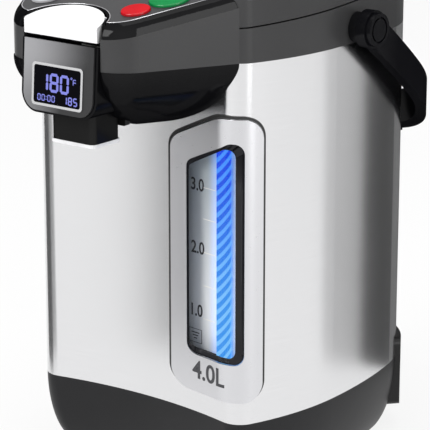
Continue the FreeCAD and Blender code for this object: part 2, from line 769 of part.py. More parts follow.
def chin_wire(factor, inset, z):
    centre_y = FRONT_CENTRE_Y - 2.5
    back_y = FRONT_CENTRE_Y + 12
    front_y = centre_y + (BEAK_FRONT_Y - centre_y) * factor + inset
    front_x = max(BEAK_HALF_FRONT * factor - inset, 2.0)
    rear_x = max(BEAK_HALF_REAR * factor - inset, 4.0)
    rear_y = max(centre_y + (BEAK_REAR_Y - centre_y) * factor, front_y + 2)
    slant = math.hypot(rear_x - front_x, rear_y - front_y)
    cut = BEAK_CORNER_RADIUS * math.tan(math.radians(29)) * factor
    cut = min(cut, 0.8 * front_x)
    along_x = (rear_x - front_x) / slant
    along_y = (rear_y - front_y) / slant
    right_low = Vector(front_x - cut, front_y, z)
    right_high = Vector(front_x + along_x * cut, front_y + along_y * cut, z)
    middle = Vector(front_x - cut * 0.23, front_y + cut * 0.15, z)
    flip = lambda p: Vector(-p.x, p.y, p.z)
    rear = Vector(rear_x, rear_y, z)
    back = Vector(rear_x, back_y, z)
    edges = [
        Part.makeLine(flip(right_low), right_low),
        Part.Arc(right_low, middle, right_high).toShape(),
        Part.makeLine(right_high, rear),
        Part.makeLine(rear, back),
        Part.makeLine(back, flip(back)),
        Part.makeLine(flip(back), flip(rear)),
        Part.makeLine(flip(rear), flip(right_high)),
        Part.Arc(flip(right_high), flip(middle), flip(right_low)).toShape(),
    ]
    return Part.Wire(edges)


def chin_cover():
    outer = chin_loft(0, PART_Z)
    inner = chin_loft(CHIN_WALL, PART_Z)
    inner.translate(Vector(0, 0, CHIN_WALL))
    chin = outer.cut(inner).cut(body_prism(0, 0, SKY)).cut(spout_notch(FIT_GAP)).cut(bracket_block(FIT_GAP))
    chin = chin.cut(nozzle_solid(HEAD_BOTTOM - NOZZLE_LENGTH - 5, HEAD_BOTTOM + 1, FIT_GAP, False))
    return max(chin.Solids, key=lambda solid: solid.Volume)


def recess(extra, z0):
    return half_oval(LEVER_HALF_WIDTH + LEVER_SIDE_GAP + SURROUND_WALL + extra,
                     LEVER_DEPTH + LEVER_BACK_GAP + SURROUND_WALL + extra, z0, SKY)


def tilted_wire(inset, z):
    """The beak's outline, drawn in and laid on a plane parallel to the panel."""
    wire = bottom_face(beak_prism(inset, 0, 1)).OuterWire
    matrix = FreeCAD.Matrix()
    matrix.A32 = PANEL_SLOPE
    matrix.A34 = z - PANEL_SLOPE * BEAK_FRONT_Y
    return wire.transformGeometry(matrix)


def panel_outline(low, inset):
    """What the panel takes of the beak: clear of the lid, from a tilted plane up."""
    area = beak_prism(inset, PART_Z, SKY).cut(body_prism(LID_FRONT_GAP + 2, PART_Z, SKY))
    return area.common(below_panel(PANEL_Z)).cut(below_panel(low))


def panel_bezel():
    levels = [
        tilted_wire(0, BEVEL_LOW_Z),
        tilted_wire(BEVEL_BULGE, (BEVEL_LOW_Z + PANEL_Z) / 2 + 0.6),
        tilted_wire(BEVEL, PANEL_Z),
    ]
    slab = Part.makeLoft(levels, True, False)
    slab = slab.cut(body_prism(LID_FRONT_GAP, PART_Z, SKY))
    rear_wall = body_prism(LID_FRONT_GAP + 3, LID_EDGE_Z, SKY).cut(body_prism(LID_FRONT_GAP, PART_Z, SKY))
    rear_wall = rear_wall.common(beak_prism(BEVEL + 1, PART_Z, SKY)).common(below_panel(PANEL_Z))
    rear_wall = rear_wall.cut(below_lid_edge(0.0))
    room = beak_prism(BEZEL_RING, PART_Z, SKY).cut(body_prism(LID_FRONT_GAP + 3, PART_Z, SKY))
    bezel = slab.cut(room).fuse(rear_wall).removeSplitter()
    bezel = bezel.cut(panel_outline(PANEL_Z - PANEL_THICK, BEVEL + PANEL_GAP)).cut(recess(0, HEAD_TOP))
    for place in BUTTONS.values():
        low = -BUTTON_DEPTH - BUTTON_TRAVEL - 0.4
        bezel = bezel.cut(button_prism(place, BUTTON_FLANGE + 0.5, low, -PANEL_THICK))
    return max(bezel.Solids, key=lambda solid: solid.Volume)


def control_panel():
    plate = panel_outline(PANEL_Z - PANEL_THICK, BEVEL + PANEL_GAP).cut(recess(0, HEAD_TOP))
    for place in BUTTONS.values():
        plate = plate.cut(button_prism(place, BUTTON_GAP, -20, 20))
    return max(plate.Solids, key=lambda solid: solid.Volume)


def lever_floor():
    return HEAD_TOP + 2.0


def lever_low():
    return lever_floor() + 0.8


def lever_surround():
    outer = recess(-FIT_GAP, HEAD_TOP + FIT_GAP).common(below_panel(PANEL_Z))
    outer = outer.common(beak_prism(COLLAR_WALL + 0.5, PART_Z, SKY))
    inner = half_oval(LEVER_HALF_WIDTH + LEVER_SIDE_GAP, LEVER_DEPTH + LEVER_BACK_GAP,
                      lever_floor(), SKY)
    cup = outer.cut(inner)
    return cup.cut(lever_pin_solid(PIN_CLEARANCE))


def lever_pin_z():
    top = lever_low() + LEVER_FRONT_HEIGHT + LEVER_SLOPE * (LEVER_PIN_Y - HEAD_FRONT_Y)
    return top - LEVER_PIN_DROP


def lever_pin_solid(margin):
    half = LEVER_HALF_WIDTH * 0.82
    return cylinder(LEVER_PIN_RADIUS + margin, 2 * half + 2 * margin,
                    (-half - margin, LEVER_PIN_Y, lever_pin_z()), (1, 0, 0))


def lever_pin():
    return lever_pin_solid(0)


def release_lever():
    low = lever_low()
    top = below(HEAD_FRONT_Y, low + LEVER_FRONT_HEIGHT, LEVER_SLOPE)
    solid = half_oval(LEVER_HALF_WIDTH, LEVER_DEPTH, low, SKY).common(top)
    solid = solid.common(box(-FAR, FAR, HEAD_FRONT_Y, 0, 0, SKY))
    front = [edge for edge in solid.Edges
             if abs(edge.CenterOfMass.y - HEAD_FRONT_Y) < 0.1 and edge.CenterOfMass.z > low + 5]
    solid = solid.makeFillet(1.5, front)
    hollow = half_oval(LEVER_HALF_WIDTH - 2.5, LEVER_DEPTH - 8, low, low + 3)
    hollow = hollow.common(box(-FAR, FAR, HEAD_FRONT_Y + 3, 0, 0, SKY))
    heel = box(-FAR, FAR, LEVER_PIN_Y - 3, 0, 0, low + 4)
    return solid.cut(hollow).cut(heel).cut(lever_pin_solid(PIN_CLEARANCE))


def rounded_plate(width, height, depth, corner, front_y, top_z):
    """A plate that faces forward, with rounded corners."""
    plate = box(-width / 2, width / 2, front_y, front_y + depth, top_z - height, top_z)
    edges = [edge for edge in plate.Edges if abs(edge.BoundBox.YLength - depth) < 1e-3]
    return plate.makeFillet(corner, edges)


def leaned(shape):
    """Tips a piece so that it follows the head's leaning front."""
    angle = math.degrees(math.atan(HEAD_LEAN / (HEAD_TOP - HEAD_BOTTOM)))
    shape.rotate(Vector(0, HEAD_FRONT_Y, HEAD_TOP), Vector(1, 0, 0), -angle)
    return shape


def head_block(wall):
    """The head's outer volume, drawn in by a wall on the sides, the front and the foot."""
    points = [
        (0, HEAD_FRONT_Y + wall, HEAD_TOP + wall),
        (0, HEAD_FRONT_Y - HEAD_LEAN + wall, HEAD_BOTTOM + wall),
        (0, HEAD_BACK_Y + wall, HEAD_BOTTOM + wall),
        (0, HEAD_BACK_Y + wall, HEAD_TOP + wall),
    ]
    half = HEAD_HALF_WIDTH - wall
    block = polygon_face(points).extrude(Vector(2 * half, 0, 0))
    block.translate(Vector(-half, 0, 0))
    low = [edge for edge in block.Edges
           if edge.BoundBox.YLength > 40 and abs(edge.CenterOfMass.z - HEAD_BOTTOM - wall) < 0.1]
    return block.makeFillet(HEAD_CORNER - wall, low)


def spout_head():
    head = head_block(0).cut(head_block(HEAD_WALL)).cut(box(-FAR, FAR, -165, 0, PART_Z - 6, SKY))
    head = head.cut(body_prism(0, 0, SKY)).cut(chin_clear())
    head = head.cut(cylinder(PIPE_RADIUS, 20, (SPOUT_X, SPOUT_Y, HEAD_BOTTOM - 5)))
    return max(head.Solids, key=lambda solid: solid.Volume)


def chin_clear():
    """Nothing of the head reaches behind the point where the bowl meets it."""
    return box(-FAR, FAR, HEAD_BACK_Y - 1, 0, 0, SKY)


def head_face():
    """The grey plate on the head's front, framed by a dark edge."""
    width = 2 * (HEAD_HALF_WIDTH - FACE_MARGIN)
    height = HEAD_TOP - HEAD_BOTTOM - 0.6 * FACE_MARGIN
    front = HEAD_FRONT_Y - FACE_THICK
    plate = box(-width / 2, width / 2, front, HEAD_FRONT_Y, HEAD_TOP - height, HEAD_TOP)
    low = [edge for edge in plate.Edges
           if abs(edge.BoundBox.YLength - FACE_THICK) < 1e-3 and edge.CenterOfMass.z < HEAD_BOTTOM + 9]
    return leaned(plate.makeFillet(HEAD_CORNER - FACE_MARGIN + 0.5, low))


def display_top():
    return HEAD_TOP - DISPLAY_DROP


def display_inner(depth, front_y):
    return rounded_plate(DISPLAY_WIDTH - 2 * DISPLAY_FRAME, DISPLAY_HEIGHT - 2 * DISPLAY_FRAME, depth,
                         DISPLAY_CORNER - 0.8, front_y, display_top() - DISPLAY_FRAME)


def display_frame():
    front = HEAD_FRONT_Y - FACE_THICK - DISPLAY_PROUD
    outer = rounded_plate(DISPLAY_WIDTH, DISPLAY_HEIGHT, DISPLAY_PROUD, DISPLAY_CORNER, front, display_top())
    return leaned(outer.cut(display_inner(DISPLAY_PROUD, front)))


def display_window():
    return leaned(display_inner(DISPLAY_PROUD - 0.3, HEAD_FRONT_Y - FACE_THICK - DISPLAY_PROUD + 0.3))


def nozzle_solid(low, high, grow, bored=True):
    block = box(-NOZZLE_HALF_WIDTH - grow, NOZZLE_HALF_WIDTH + grow, NOZZLE_FRONT_Y - grow,
                NOZZLE_BACK_Y + grow, low, high)
    block = block.makeFillet(NOZZLE_CORNER, upright_edges(block, lambda x, y: True))
    if not bored:
        return block
    return block.cut(cylinder(OUTLET_RADIUS, FAR, (SPOUT_X, SPOUT_Y, 0)))


def nozzle_block():
    return nozzle_solid(HEAD_BOTTOM - NOZZLE_LENGTH, HEAD_BOTTOM, 0)


def bracket_block(margin):
    """The cross bar behind the nozzle that ties it to the head."""
    half = BRACKET_HALF_WIDTH + margin
    return box(-half, half, NOZZLE_BACK_Y - margin, NOZZLE_BACK_Y + BRACKET_DEPTH + margin,
               HEAD_BOTTOM - BRACKET_HEIGHT - margin, HEAD_BOTTOM)


def nozzle_bracket():
    bar = bracket_block(0)
    ends = [edge for edge in bar.Edges
            if edge.BoundBox.YLength > 3 and edge.CenterOfMass.z < HEAD_BOTTOM - 5]
    return bar.makeFillet(1.2, ends)


def nozzle_lip():
    low = HEAD_BOTTOM - NOZZLE_LENGTH - LIP_HEIGHT
    return nozzle_solid(low, HEAD_BOTTOM - NOZZLE_LENGTH, 0.6)


def button_prism(place, grow, low, high):
    """A round that stands on the panel, between two heights above its face."""
    x, y, radius = place
    solid = cylinder(radius + grow, high - low, (0, 0, low))
    solid.rotate(Vector(0, 0, 0), Vector(1, 0, 0), math.degrees(math.atan(PANEL_SLOPE)))
    solid.translate(Vector(x, y, panel_height(y)))
    return solid


def button(place):
    cap = button_prism(place, 0, -BUTTON_DEPTH, BUTTON_PROUD)
    top = [edge for edge in cap.Edges
           if edge.CenterOfMass.z > panel_height(place[1]) + 0.5 and edge.isClosed()]
    cap = cap.makeFillet(0.9, top)
    flange = button_prism(place, BUTTON_FLANGE, -BUTTON_DEPTH, -BUTTON_DEPTH + BUTTON_FLANGE_THICK)
    return cap.fuse(flange).removeSplitter()


def tilted_plate(depth_low, depth_high):
    """A slab parallel to the panel, between two depths under its face."""
    return below_panel(PANEL_Z - depth_high).cut(below_panel(PANEL_Z - depth_low))


def button_board():
    half = BUTTONS["dispense_button"][0] + BOARD_MARGIN
    front = BUTTONS["reboil_button"][1] - BOARD_FRONT
    outline = box(-half, half, front, front + BOARD_DEPTH, PART_Z, SKY)
    outline = outline.common(beak_prism(COLLAR_WALL + 2, PART_Z, SKY))
    board = outline.common(tilted_plate(BOARD_DROP + BOARD_THICK, BOARD_DROP))
    return board.cut(recess(1.5, PART_Z))


def tact_switches():
    switches = []
    for place in BUTTONS.values():
        top = -BUTTON_DEPTH - BUTTON_TRAVEL - SWITCH_GAP
        low = -BOARD_DROP * math.cos(math.atan(PANEL_SLOPE))
        switches.append(button_prism((place[0], place[1], SWITCH_RADIUS), 0, low, top))
    return Part.makeCompound(switches)


def gauge_gasket():
    layer = skin(1.2, 0).common(gauge_block(GASKET_RIM)).cut(gauge_block(0))
    return layer


def gauge_frame():
    layer = skin(GAUGE_RAISE, 0).common(gauge_block(0)).cut(window_block(0)).cut(tube_slot())
    return max(layer.Solids, key=lambda solid: solid.Volume)


def gauge_window():
    high = GAUGE_RAISE - WINDOW_SINK
    return skin(high, high - WINDOW_THICK).common(window_block(0))


def gauge_scale():
    plate = skin(-SCALE_DEPTH, -SCALE_DEPTH - SCALE_THICK).common(window_block(SCALE_MARGIN))
    plate = plate.cut(cylinder(TUBE_RADIUS + 0.3, FAR, (TUBE_X, TUBE_Y, 0)))
    return plate.cut(pipe_space(SPOUT_ROUTE, PIPE_RADIUS + 0.5)).cut(pipe_space(DELIVERY_ROUTE, PIPE_RADIUS + 0.5))


def gauge_rim():
    """The dark well between the frame and the scale."""
    well = body_prism(-STEEL_WALL, BASE_HEIGHT, PART_Z).cut(body_prism(-SCALE_DEPTH, BASE_HEIGHT, PART_Z))
    well = well.common(window_block(SCALE_MARGIN)).cut(window_block(0.8)).cut(tube_slot())
    well = well.cut(pipe_space(SPOUT_ROUTE, PIPE_RADIUS + 0.5)).cut(pipe_space(DELIVERY_ROUTE, PIPE_RADIUS + 0.5))
    return max(well.Solids, key=lambda solid: solid.Volume)


def gauge_tube():
    return tube(TUBE_RADIUS, TUBE_RADIUS - TUBE_WALL, TUBE_HIGH - TUBE_LOW, (TUBE_X, TUBE_Y, TUBE_LOW))


def delivery_pipe():
    return pipe(DELIVERY_ROUTE, PIPE_RADIUS, PIPE_RADIUS - PIPE_WALL)


def spout_pipe():
    return pipe(SPOUT_ROUTE, PIPE_RADIUS, PIPE_RADIUS - PIPE_WALL)


def pot_profile(radius, bottom, corner):
    outline = [
        Part.makeLine(Vector(0, 0, bottom), Vector(radius - corner, 0, bottom)),
        Part.Arc(Vector(radius - corner, 0, bottom),
                 Vector(radius - corner * (1 - math.sin(math.pi / 4)), 0,
                        bottom + corner * (1 - math.sin(math.pi / 4))),
                 Vector(radius, 0, bottom + corner)).toShape(),
        Part.makeLine(Vector(radius, 0, bottom + corner), Vector(radius, 0, POT_RIM)),
        Part.makeLine(Vector(radius, 0, POT_RIM), Vector(0, 0, POT_RIM)),
        Part.makeLine(Vector(0, 0, POT_RIM), Vector(0, 0, bottom)),
    ]
    face = wire_face(outline)
    return face.revolve(Vector(0, 0, 0), Vector(0, 0, 1), 360)


def pot_floor_space():
    return cylinder(POT_RADIUS + 10, POT_SEAM, (0, POT_Y, POT_BOTTOM))


def whole_pot():
    pot = pot_profile(POT_RADIUS, POT_BOTTOM, POT_CORNER)
    pot = pot.cut(pot_profile(POT_RADIUS - POT_WALL, POT_BOTTOM + POT_WALL, POT_CORNER - POT_WALL))
    flange = tube(POT_RADIUS + POT_FLANGE, POT_RADIUS - POT_WALL, POT_RIM - FLOOR_TOP, (0, 0, FLOOR_TOP))
    pot = pot.fuse(flange).removeSplitter()
    pot.translate(Vector(0, POT_Y, 0))
    return pot.cut(cylinder(PIPE_RADIUS - PIPE_WALL, 20, (PUMP_X, PUMP_Y, POT_BOTTOM - 10)))


def inner_pot():
    return whole_pot().cut(pot_floor_space())


def pot_floor():
    return whole_pot().common(pot_floor_space())


def heat_shield():
    inner = POT_RADIUS + SHIELD_GAP
    return tube(inner + SHIELD_WALL, inner, FLOOR_BOTTOM - 8 - POT_BOTTOM, (0, POT_Y, POT_BOTTOM))


def heater_plate():
    plate = tube(HEATER_RADIUS, THERMOSTAT_RADIUS + 6, HEATER_THICK, (0, POT_Y, POT_BOTTOM - HEATER_THICK))
    return plate.cut(cylinder(PIPE_RADIUS + 1.5, FAR, (PUMP_X, PUMP_Y, 0)))


def thermostat():
    return cylinder(THERMOSTAT_RADIUS, THERMOSTAT_HEIGHT, (0, POT_Y, POT_BOTTOM - THERMOSTAT_HEIGHT))


def suction_pipe():
    return tube(PIPE_RADIUS, PIPE_RADIUS - PIPE_WALL, POT_BOTTOM - PUMP_TOP, (PUMP_X, PUMP_Y, PUMP_TOP))


def pump_housing():
    return cylinder(PUMP_RADIUS, PUMP_HEIGHT, (PUMP_X, PUMP_Y, PUMP_LOW))


def pump_motor():
    low = PUMP_LOW - MOTOR_HEIGHT
    body = cylinder(MOTOR_RADIUS, MOTOR_HEIGHT, (PUMP_X, PUMP_Y, low))
    return body.makeFillet(1.5, [edge for edge in body.Edges if edge.CenterOfMass.z < low + 0.1])


def main_board():
    x, y, width, depth = MAIN_BOARD
    low = PLATE_BOTTOM + PLATE_THICK + POST_HEIGHT
    return box(x, x + width, y, y + depth, low, low + BOARD_THICK)


def board_posts():
    x, y, width, depth = MAIN_BOARD
    low = PLATE_BOTTOM + PLATE_THICK
    return Part.makeCompound([cylinder(POST_RADIUS, POST_HEIGHT, (x + dx, y + dy, low))
                              for dx in (POST_EDGE, width - POST_EDGE)
                              for dy in (POST_EDGE, depth - POST_EDGE)])


def crown(radius_drop):
    """The ball whose top is the lid's crown."""
    radius = LID_CROWN_RADIUS - radius_drop
    return Part.makeSphere(radius, Vector(0, LID_CROWN_Y, LID_TOP - LID_CROWN_RADIUS))


def lid_cover():
    solid = body_prism(0, PART_Z, SKY).common(crown(0))
    top = [edge for edge in solid.Edges if edge.BoundBox.ZMin > LID_EDGE_Z + LID_EDGE_FILLET]
    solid = solid.makeFillet(LID_EDGE_FILLET, top).cut(below_lid_edge(LID_GAP))
    hollow = body_prism(-LID_WALL, PART_Z, SKY).common(crown(LID_WALL))
    lid = solid.cut(hollow)
    lid = lid.cut(cylinder(VENT_RADIUS + 0.0, SKY, (0, VENT_Y, 0)))
    lid = lid.cut(box(-HINGE_MIDDLE, HINGE_MIDDLE, REAR_CENTRE_Y - 8, FAR, 0, HINGE_Z + HINGE_RADIUS + 1))
    for side in (-1, 1):
        near = HINGE_MIDDLE + HINGE_END_GAP
        start = near if side > 0 else -HINGE_HALF
        knuckle = cylinder(HINGE_RADIUS, HINGE_HALF - near, (start, HINGE_Y, HINGE_Z), (1, 0, 0))
        web = box(start, start + HINGE_HALF - near, HINGE_Y - HINGE_RADIUS, HINGE_Y - 1,
                  HINGE_Z, HINGE_Z + 10)
        lid = lid.fuse(knuckle).fuse(web)
    lid = lid.removeSplitter()
    return lid.cut(cylinder(HINGE_PIN_RADIUS + PIN_CLEARANCE, 2 * FAR, (-FAR, HINGE_Y, HINGE_Z), (1, 0, 0)))


def lid_liner():
    plate = cylinder(LINER_RADIUS, 2.5, (0, POT_Y, LINER_BOTTOM))
    plug = cylinder(PLUG_RADIUS, LINER_BOTTOM - PLUG_BOTTOM, (0, POT_Y, PLUG_BOTTOM))
    low = [edge for edge in plug.Edges if edge.CenterOfMass.z < PLUG_BOTTOM + 0.1]
    plug = plug.makeFillet(4.0, low)
    liner = plate.fuse(plug).removeSplitter()
    liner = liner.common(body_prism(-LID_WALL - 0.2, 0, SKY))
    liner = liner.cut(cylinder(PLUG_RADIUS - 2.5, FAR, (0, POT_Y, PLUG_BOTTOM + 2.5)))
    for i in range(8):
        turn = math.radians(45 * i)
        liner = liner.cut(cylinder(2.5, 10, (20 * math.cos(turn), POT_Y + 20 * math.sin(turn), PLUG_BOTTOM - 3)))
    return liner


def lid_gasket():
    return tube(PLUG_RADIUS + GASKET_WIDTH, PLUG_RADIUS, GASKET_HEIGHT, (0, POT_Y, POT_RIM + 2))


def steam_vent():
    top = LID_TOP + VENT_PROUD - 2.5
    vent = cylinder(VENT_RADIUS, 6, (0, VENT_Y, top - 6))
    upper = [edge for edge in vent.Edges if edge.CenterOfMass.z > top - 0.1]
    vent = vent.makeFillet(1.2, upper)
    for i in range(5):
        x = (i - 2) * 4.2
        half = math.sqrt((VENT_RADIUS - 3) ** 2 - x ** 2)
        vent = vent.cut(box(x - 0.8, x + 0.8, VENT_Y - half, VENT_Y + half, top - 7, top + 1))
    return vent


def hinge_pin():
    return cylinder(HINGE_PIN_RADIUS, 2 * HINGE_HALF, (-HINGE_HALF, HINGE_Y, HINGE_Z), (1, 0, 0))


def handle_bosses():
    solids = []
    for side in (-1, 1):
        inner = HALF_WIDTH - 1.5
        outer = HALF_WIDTH + HANDLE_GAP - FIT_GAP
        boss = cylinder(BOSS_RADIUS, outer - inner, (side * inner, HANDLE_AXIS_Y, HANDLE_AXIS_Z), (side, 0, 0))
        pin = cylinder(PIVOT_RADIUS, HANDLE_THICK + FIT_GAP - 0.4,
                       (side * outer, HANDLE_AXIS_Y, HANDLE_AXIS_Z), (side, 0, 0))
        boss = boss.fuse(pin).removeSplitter().cut(body_prism(0, 0, SKY))
        solids.append(boss)
    return Part.makeCompound(solids)


def handle_slab():
    """The tilted layer that the strap lies in, behind the pivot axis."""
    slab = box(-FAR, FAR, 0, FAR, -HANDLE_WIDTH / 2, HANDLE_WIDTH / 2)
    slab.rotate(Vector(0, 0, 0), Vector(1, 0, 0), -HANDLE_TILT)
    slab.translate(Vector(0, HANDLE_AXIS_Y, HANDLE_AXIS_Z))
    return slab


def shifted_prism(offset):
    prism = body_prism(offset, BASE_HEIGHT, SKY)
    prism.translate(Vector(0, HANDLE_REAR_SHIFT, 0))
    return prism


def handle_bail():
    strap = shifted_prism(HANDLE_GAP + HANDLE_THICK).cut(shifted_prism(HANDLE_GAP)).common(handle_slab())
    grip = shifted_prism(HANDLE_GAP + HANDLE_THICK + GRIP_THICK).cut(shifted_prism(HANDLE_GAP))
    grip = grip.common(handle_slab()).common(box(-GRIP_HALF_WIDTH, GRIP_HALF_WIDTH, 0, FAR, 0, SKY))
    bail = strap.fuse(grip).removeSplitter()
    inner = HALF_WIDTH + HANDLE_GAP
    for side in (-1, 1):
        eye = cylinder(EYE_RADIUS, HANDLE_THICK, (side * inner, HANDLE_AXIS_Y, HANDLE_AXIS_Z), (side, 0, 0))
        bail = bail.fuse(eye)
    bail = bail.removeSplitter()
    for side in (-1, 1):
        bore = cylinder(PIVOT_RADIUS + PIN_CLEARANCE, 30,
                        (side * (inner - 10), HANDLE_AXIS_Y, HANDLE_AXIS_Z), (side, 0, 0))
        bail = bail.cut(bore)
        room = cylinder(BOSS_RADIUS + 0.6, 40, (side * inner, HANDLE_AXIS_Y, HANDLE_AXIS_Z), (-side, 0, 0))
        bail = bail.cut(room)
    return bail


def handle_caps():
    caps = []
    for side in (-1, 1):
        start = HALF_WIDTH + HANDLE_GAP + HANDLE_THICK
        cap = cylinder(CAP_RADIUS, CAP_THICK, (side * start, HANDLE_AXIS_Y, HANDLE_AXIS_Z), (side, 0, 0))
        groove = tube(CAP_RADIUS - 2.5, CAP_RADIUS - 3.7, 1.2,
                      (side * (start + CAP_THICK - 1.2), HANDLE_AXIS_Y, HANDLE_AXIS_Z), (side, 0, 0))
        caps.append(cap.cut(groove))
    return Part.makeCompound(caps)


PARTS = {
    "outer_shell": outer_shell,
    "base_skirt": base_skirt,
    "base_plate": base_plate,
    "base_screws": base_screws,
    "swivel_ring": swivel_ring,
    "foot_pads": foot_pads,
    "inlet_housing": inlet_housing,
    "inlet_pins": inlet_pins,
    "upper_collar": upper_collar,
    "chin_cover": chin_cover,
    "panel_bezel": panel_bezel,
    "control_panel": control_panel,
    "lever_surround": lever_surround,
    "lever_pin": lever_pin,
    "release_lever": release_lever,
    "spout_head": spout_head,
    "head_face": head_face,
    "display_frame": display_frame,
    "display_window": display_window,
    "nozzle_block": nozzle_block,
    "nozzle_lip": nozzle_lip,
    "nozzle_bracket": nozzle_bracket,
    "button_board": button_board,
    "tact_switches": tact_switches,
    "gauge_gasket": gauge_gasket,
    "gauge_frame": gauge_frame,
    "gauge_window": gauge_window,
    "gauge_rim": gauge_rim,
    "gauge_scale": gauge_scale,
    "gauge_tube": gauge_tube,
    "delivery_pipe": delivery_pipe,
    "spout_pipe": spout_pipe,
    "inner_pot": inner_pot,
    "pot_floor": pot_floor,
    "heat_shield": heat_shield,
    "heater_plate": heater_plate,
    "thermostat": thermostat,
    "suction_pipe": suction_pipe,
    "pump_housing": pump_housing,
    "pump_motor": pump_motor,
    "main_board": main_board,
    "board_posts": board_posts,
    "hinge_pin": hinge_pin,
    "lid_cover": lid_cover,
    "lid_liner": lid_liner,
    "lid_gasket": lid_gasket,
    "steam_vent": steam_vent,
    "handle_bosses": handle_bosses,
    "handle_bail": handle_bail,
    "handle_caps": handle_caps,
}


def write(name, shape):
    """Write one sub-part and say whether it is sound."""
    shape.exportStep(os.path.join("parts", name + ".step"))
    size = shape.BoundBox
    print(f"{name}: solids {len(shape.Solids)}, valid {shape.isValid()}, volume {shape.Volume:.0f}, "
          f"z {size.ZMin:.1f} to {size.ZMax:.1f}")


def main():
    os.makedirs("parts", exist_ok=True)
    for name, make in PARTS.items():
        write(name, make())
    for name, place in BUTTONS.items():
        write(name, button(place))


main()
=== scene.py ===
"""Looks for a four litre electric thermo pot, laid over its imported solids.

Every length is in metres. The pot stands on z = 0, its spout points along -Y and its gauge sits on
the ridge between the front and the +X side.
"""
import math

import bpy
from mathutils import Matrix, Vector


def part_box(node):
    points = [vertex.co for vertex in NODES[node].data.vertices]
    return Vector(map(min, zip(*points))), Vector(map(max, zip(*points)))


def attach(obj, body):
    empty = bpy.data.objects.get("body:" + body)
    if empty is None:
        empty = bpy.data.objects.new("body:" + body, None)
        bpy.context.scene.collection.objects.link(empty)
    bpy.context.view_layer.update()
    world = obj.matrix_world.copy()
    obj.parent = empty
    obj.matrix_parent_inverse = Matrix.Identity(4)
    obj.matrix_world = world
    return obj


bl_info = {
    "name": "Electric Thermo Pot Looks",
    "version": (1, 0, 0),
    "blender": (4, 5, 0),
    "location": "3D View > Sidebar > Thermo Pot",
    "description": "Finishes, display digits, gauge marks, lamps and camera for an electric thermo pot",
    "category": "Object",
}

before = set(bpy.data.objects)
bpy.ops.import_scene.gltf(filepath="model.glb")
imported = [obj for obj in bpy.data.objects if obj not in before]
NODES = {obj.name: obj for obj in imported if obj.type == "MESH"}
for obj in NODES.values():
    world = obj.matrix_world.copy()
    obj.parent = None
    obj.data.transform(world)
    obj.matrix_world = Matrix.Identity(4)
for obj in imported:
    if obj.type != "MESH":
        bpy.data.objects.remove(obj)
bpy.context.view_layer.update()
MM = 0.001
UP = Vector((0.0, 0.0, 1.0))
WHITE = (1.0, 1.0, 1.0, 1.0)
PRINT_THICK = 0.08 * MM
PRINT_GAP = 0.02 * MM
WELD = 0.02 * MM
CAMERA_PLACE = Vector((0.9229, -1.2077, 0.5898))
CAMERA_AIM = Vector((0.0134, -0.0436, 0.169))
GAUGE_TURN = math.radians(38.0)
GAUGE_OUT = Vector((math.sin(GAUGE_TURN), -math.cos(GAUGE_TURN), 0.0))
GAUGE_ALONG = Vector((math.cos(GAUGE_TURN), math.sin(GAUGE_TURN), 0.0))
GAUGE_PLANE_OUT = 0.10


# Shader maths

class Value:
    """A socket that adds its own Math nodes when it is used in an expression."""

    def __init__(self, finish, socket):
        self.finish = finish
        self.socket = socket

    def maths(self, operation, *values):
        return self.finish.node("ShaderNodeMath", {"operation": operation}, dict(enumerate(values)))

    def __add__(self, other):
        return self.maths("ADD", self, other)

    def __radd__(self, other):
        return self.maths("ADD", other, self)

    def __sub__(self, other):
        return self.maths("SUBTRACT", self, other)

    def __rsub__(self, other):
        return self.maths("SUBTRACT", other, self)

    def __mul__(self, other):
        return self.maths("MULTIPLY", self, other)

    def __rmul__(self, other):
        return self.maths("MULTIPLY", other, self)

    def size(self):
        return self.maths("ABSOLUTE", self)

    def sine(self):
        return self.maths("SINE", self)

    def ease(self, low, high):
        """0 below the first value, 1 above the second, and smooth between them."""
        settings = {"interpolation_type": "SMOOTHSTEP"}
        inputs = {"Value": self, "From Min": low, "From Max": high}
        return self.finish.node("ShaderNodeMapRange", settings, inputs)


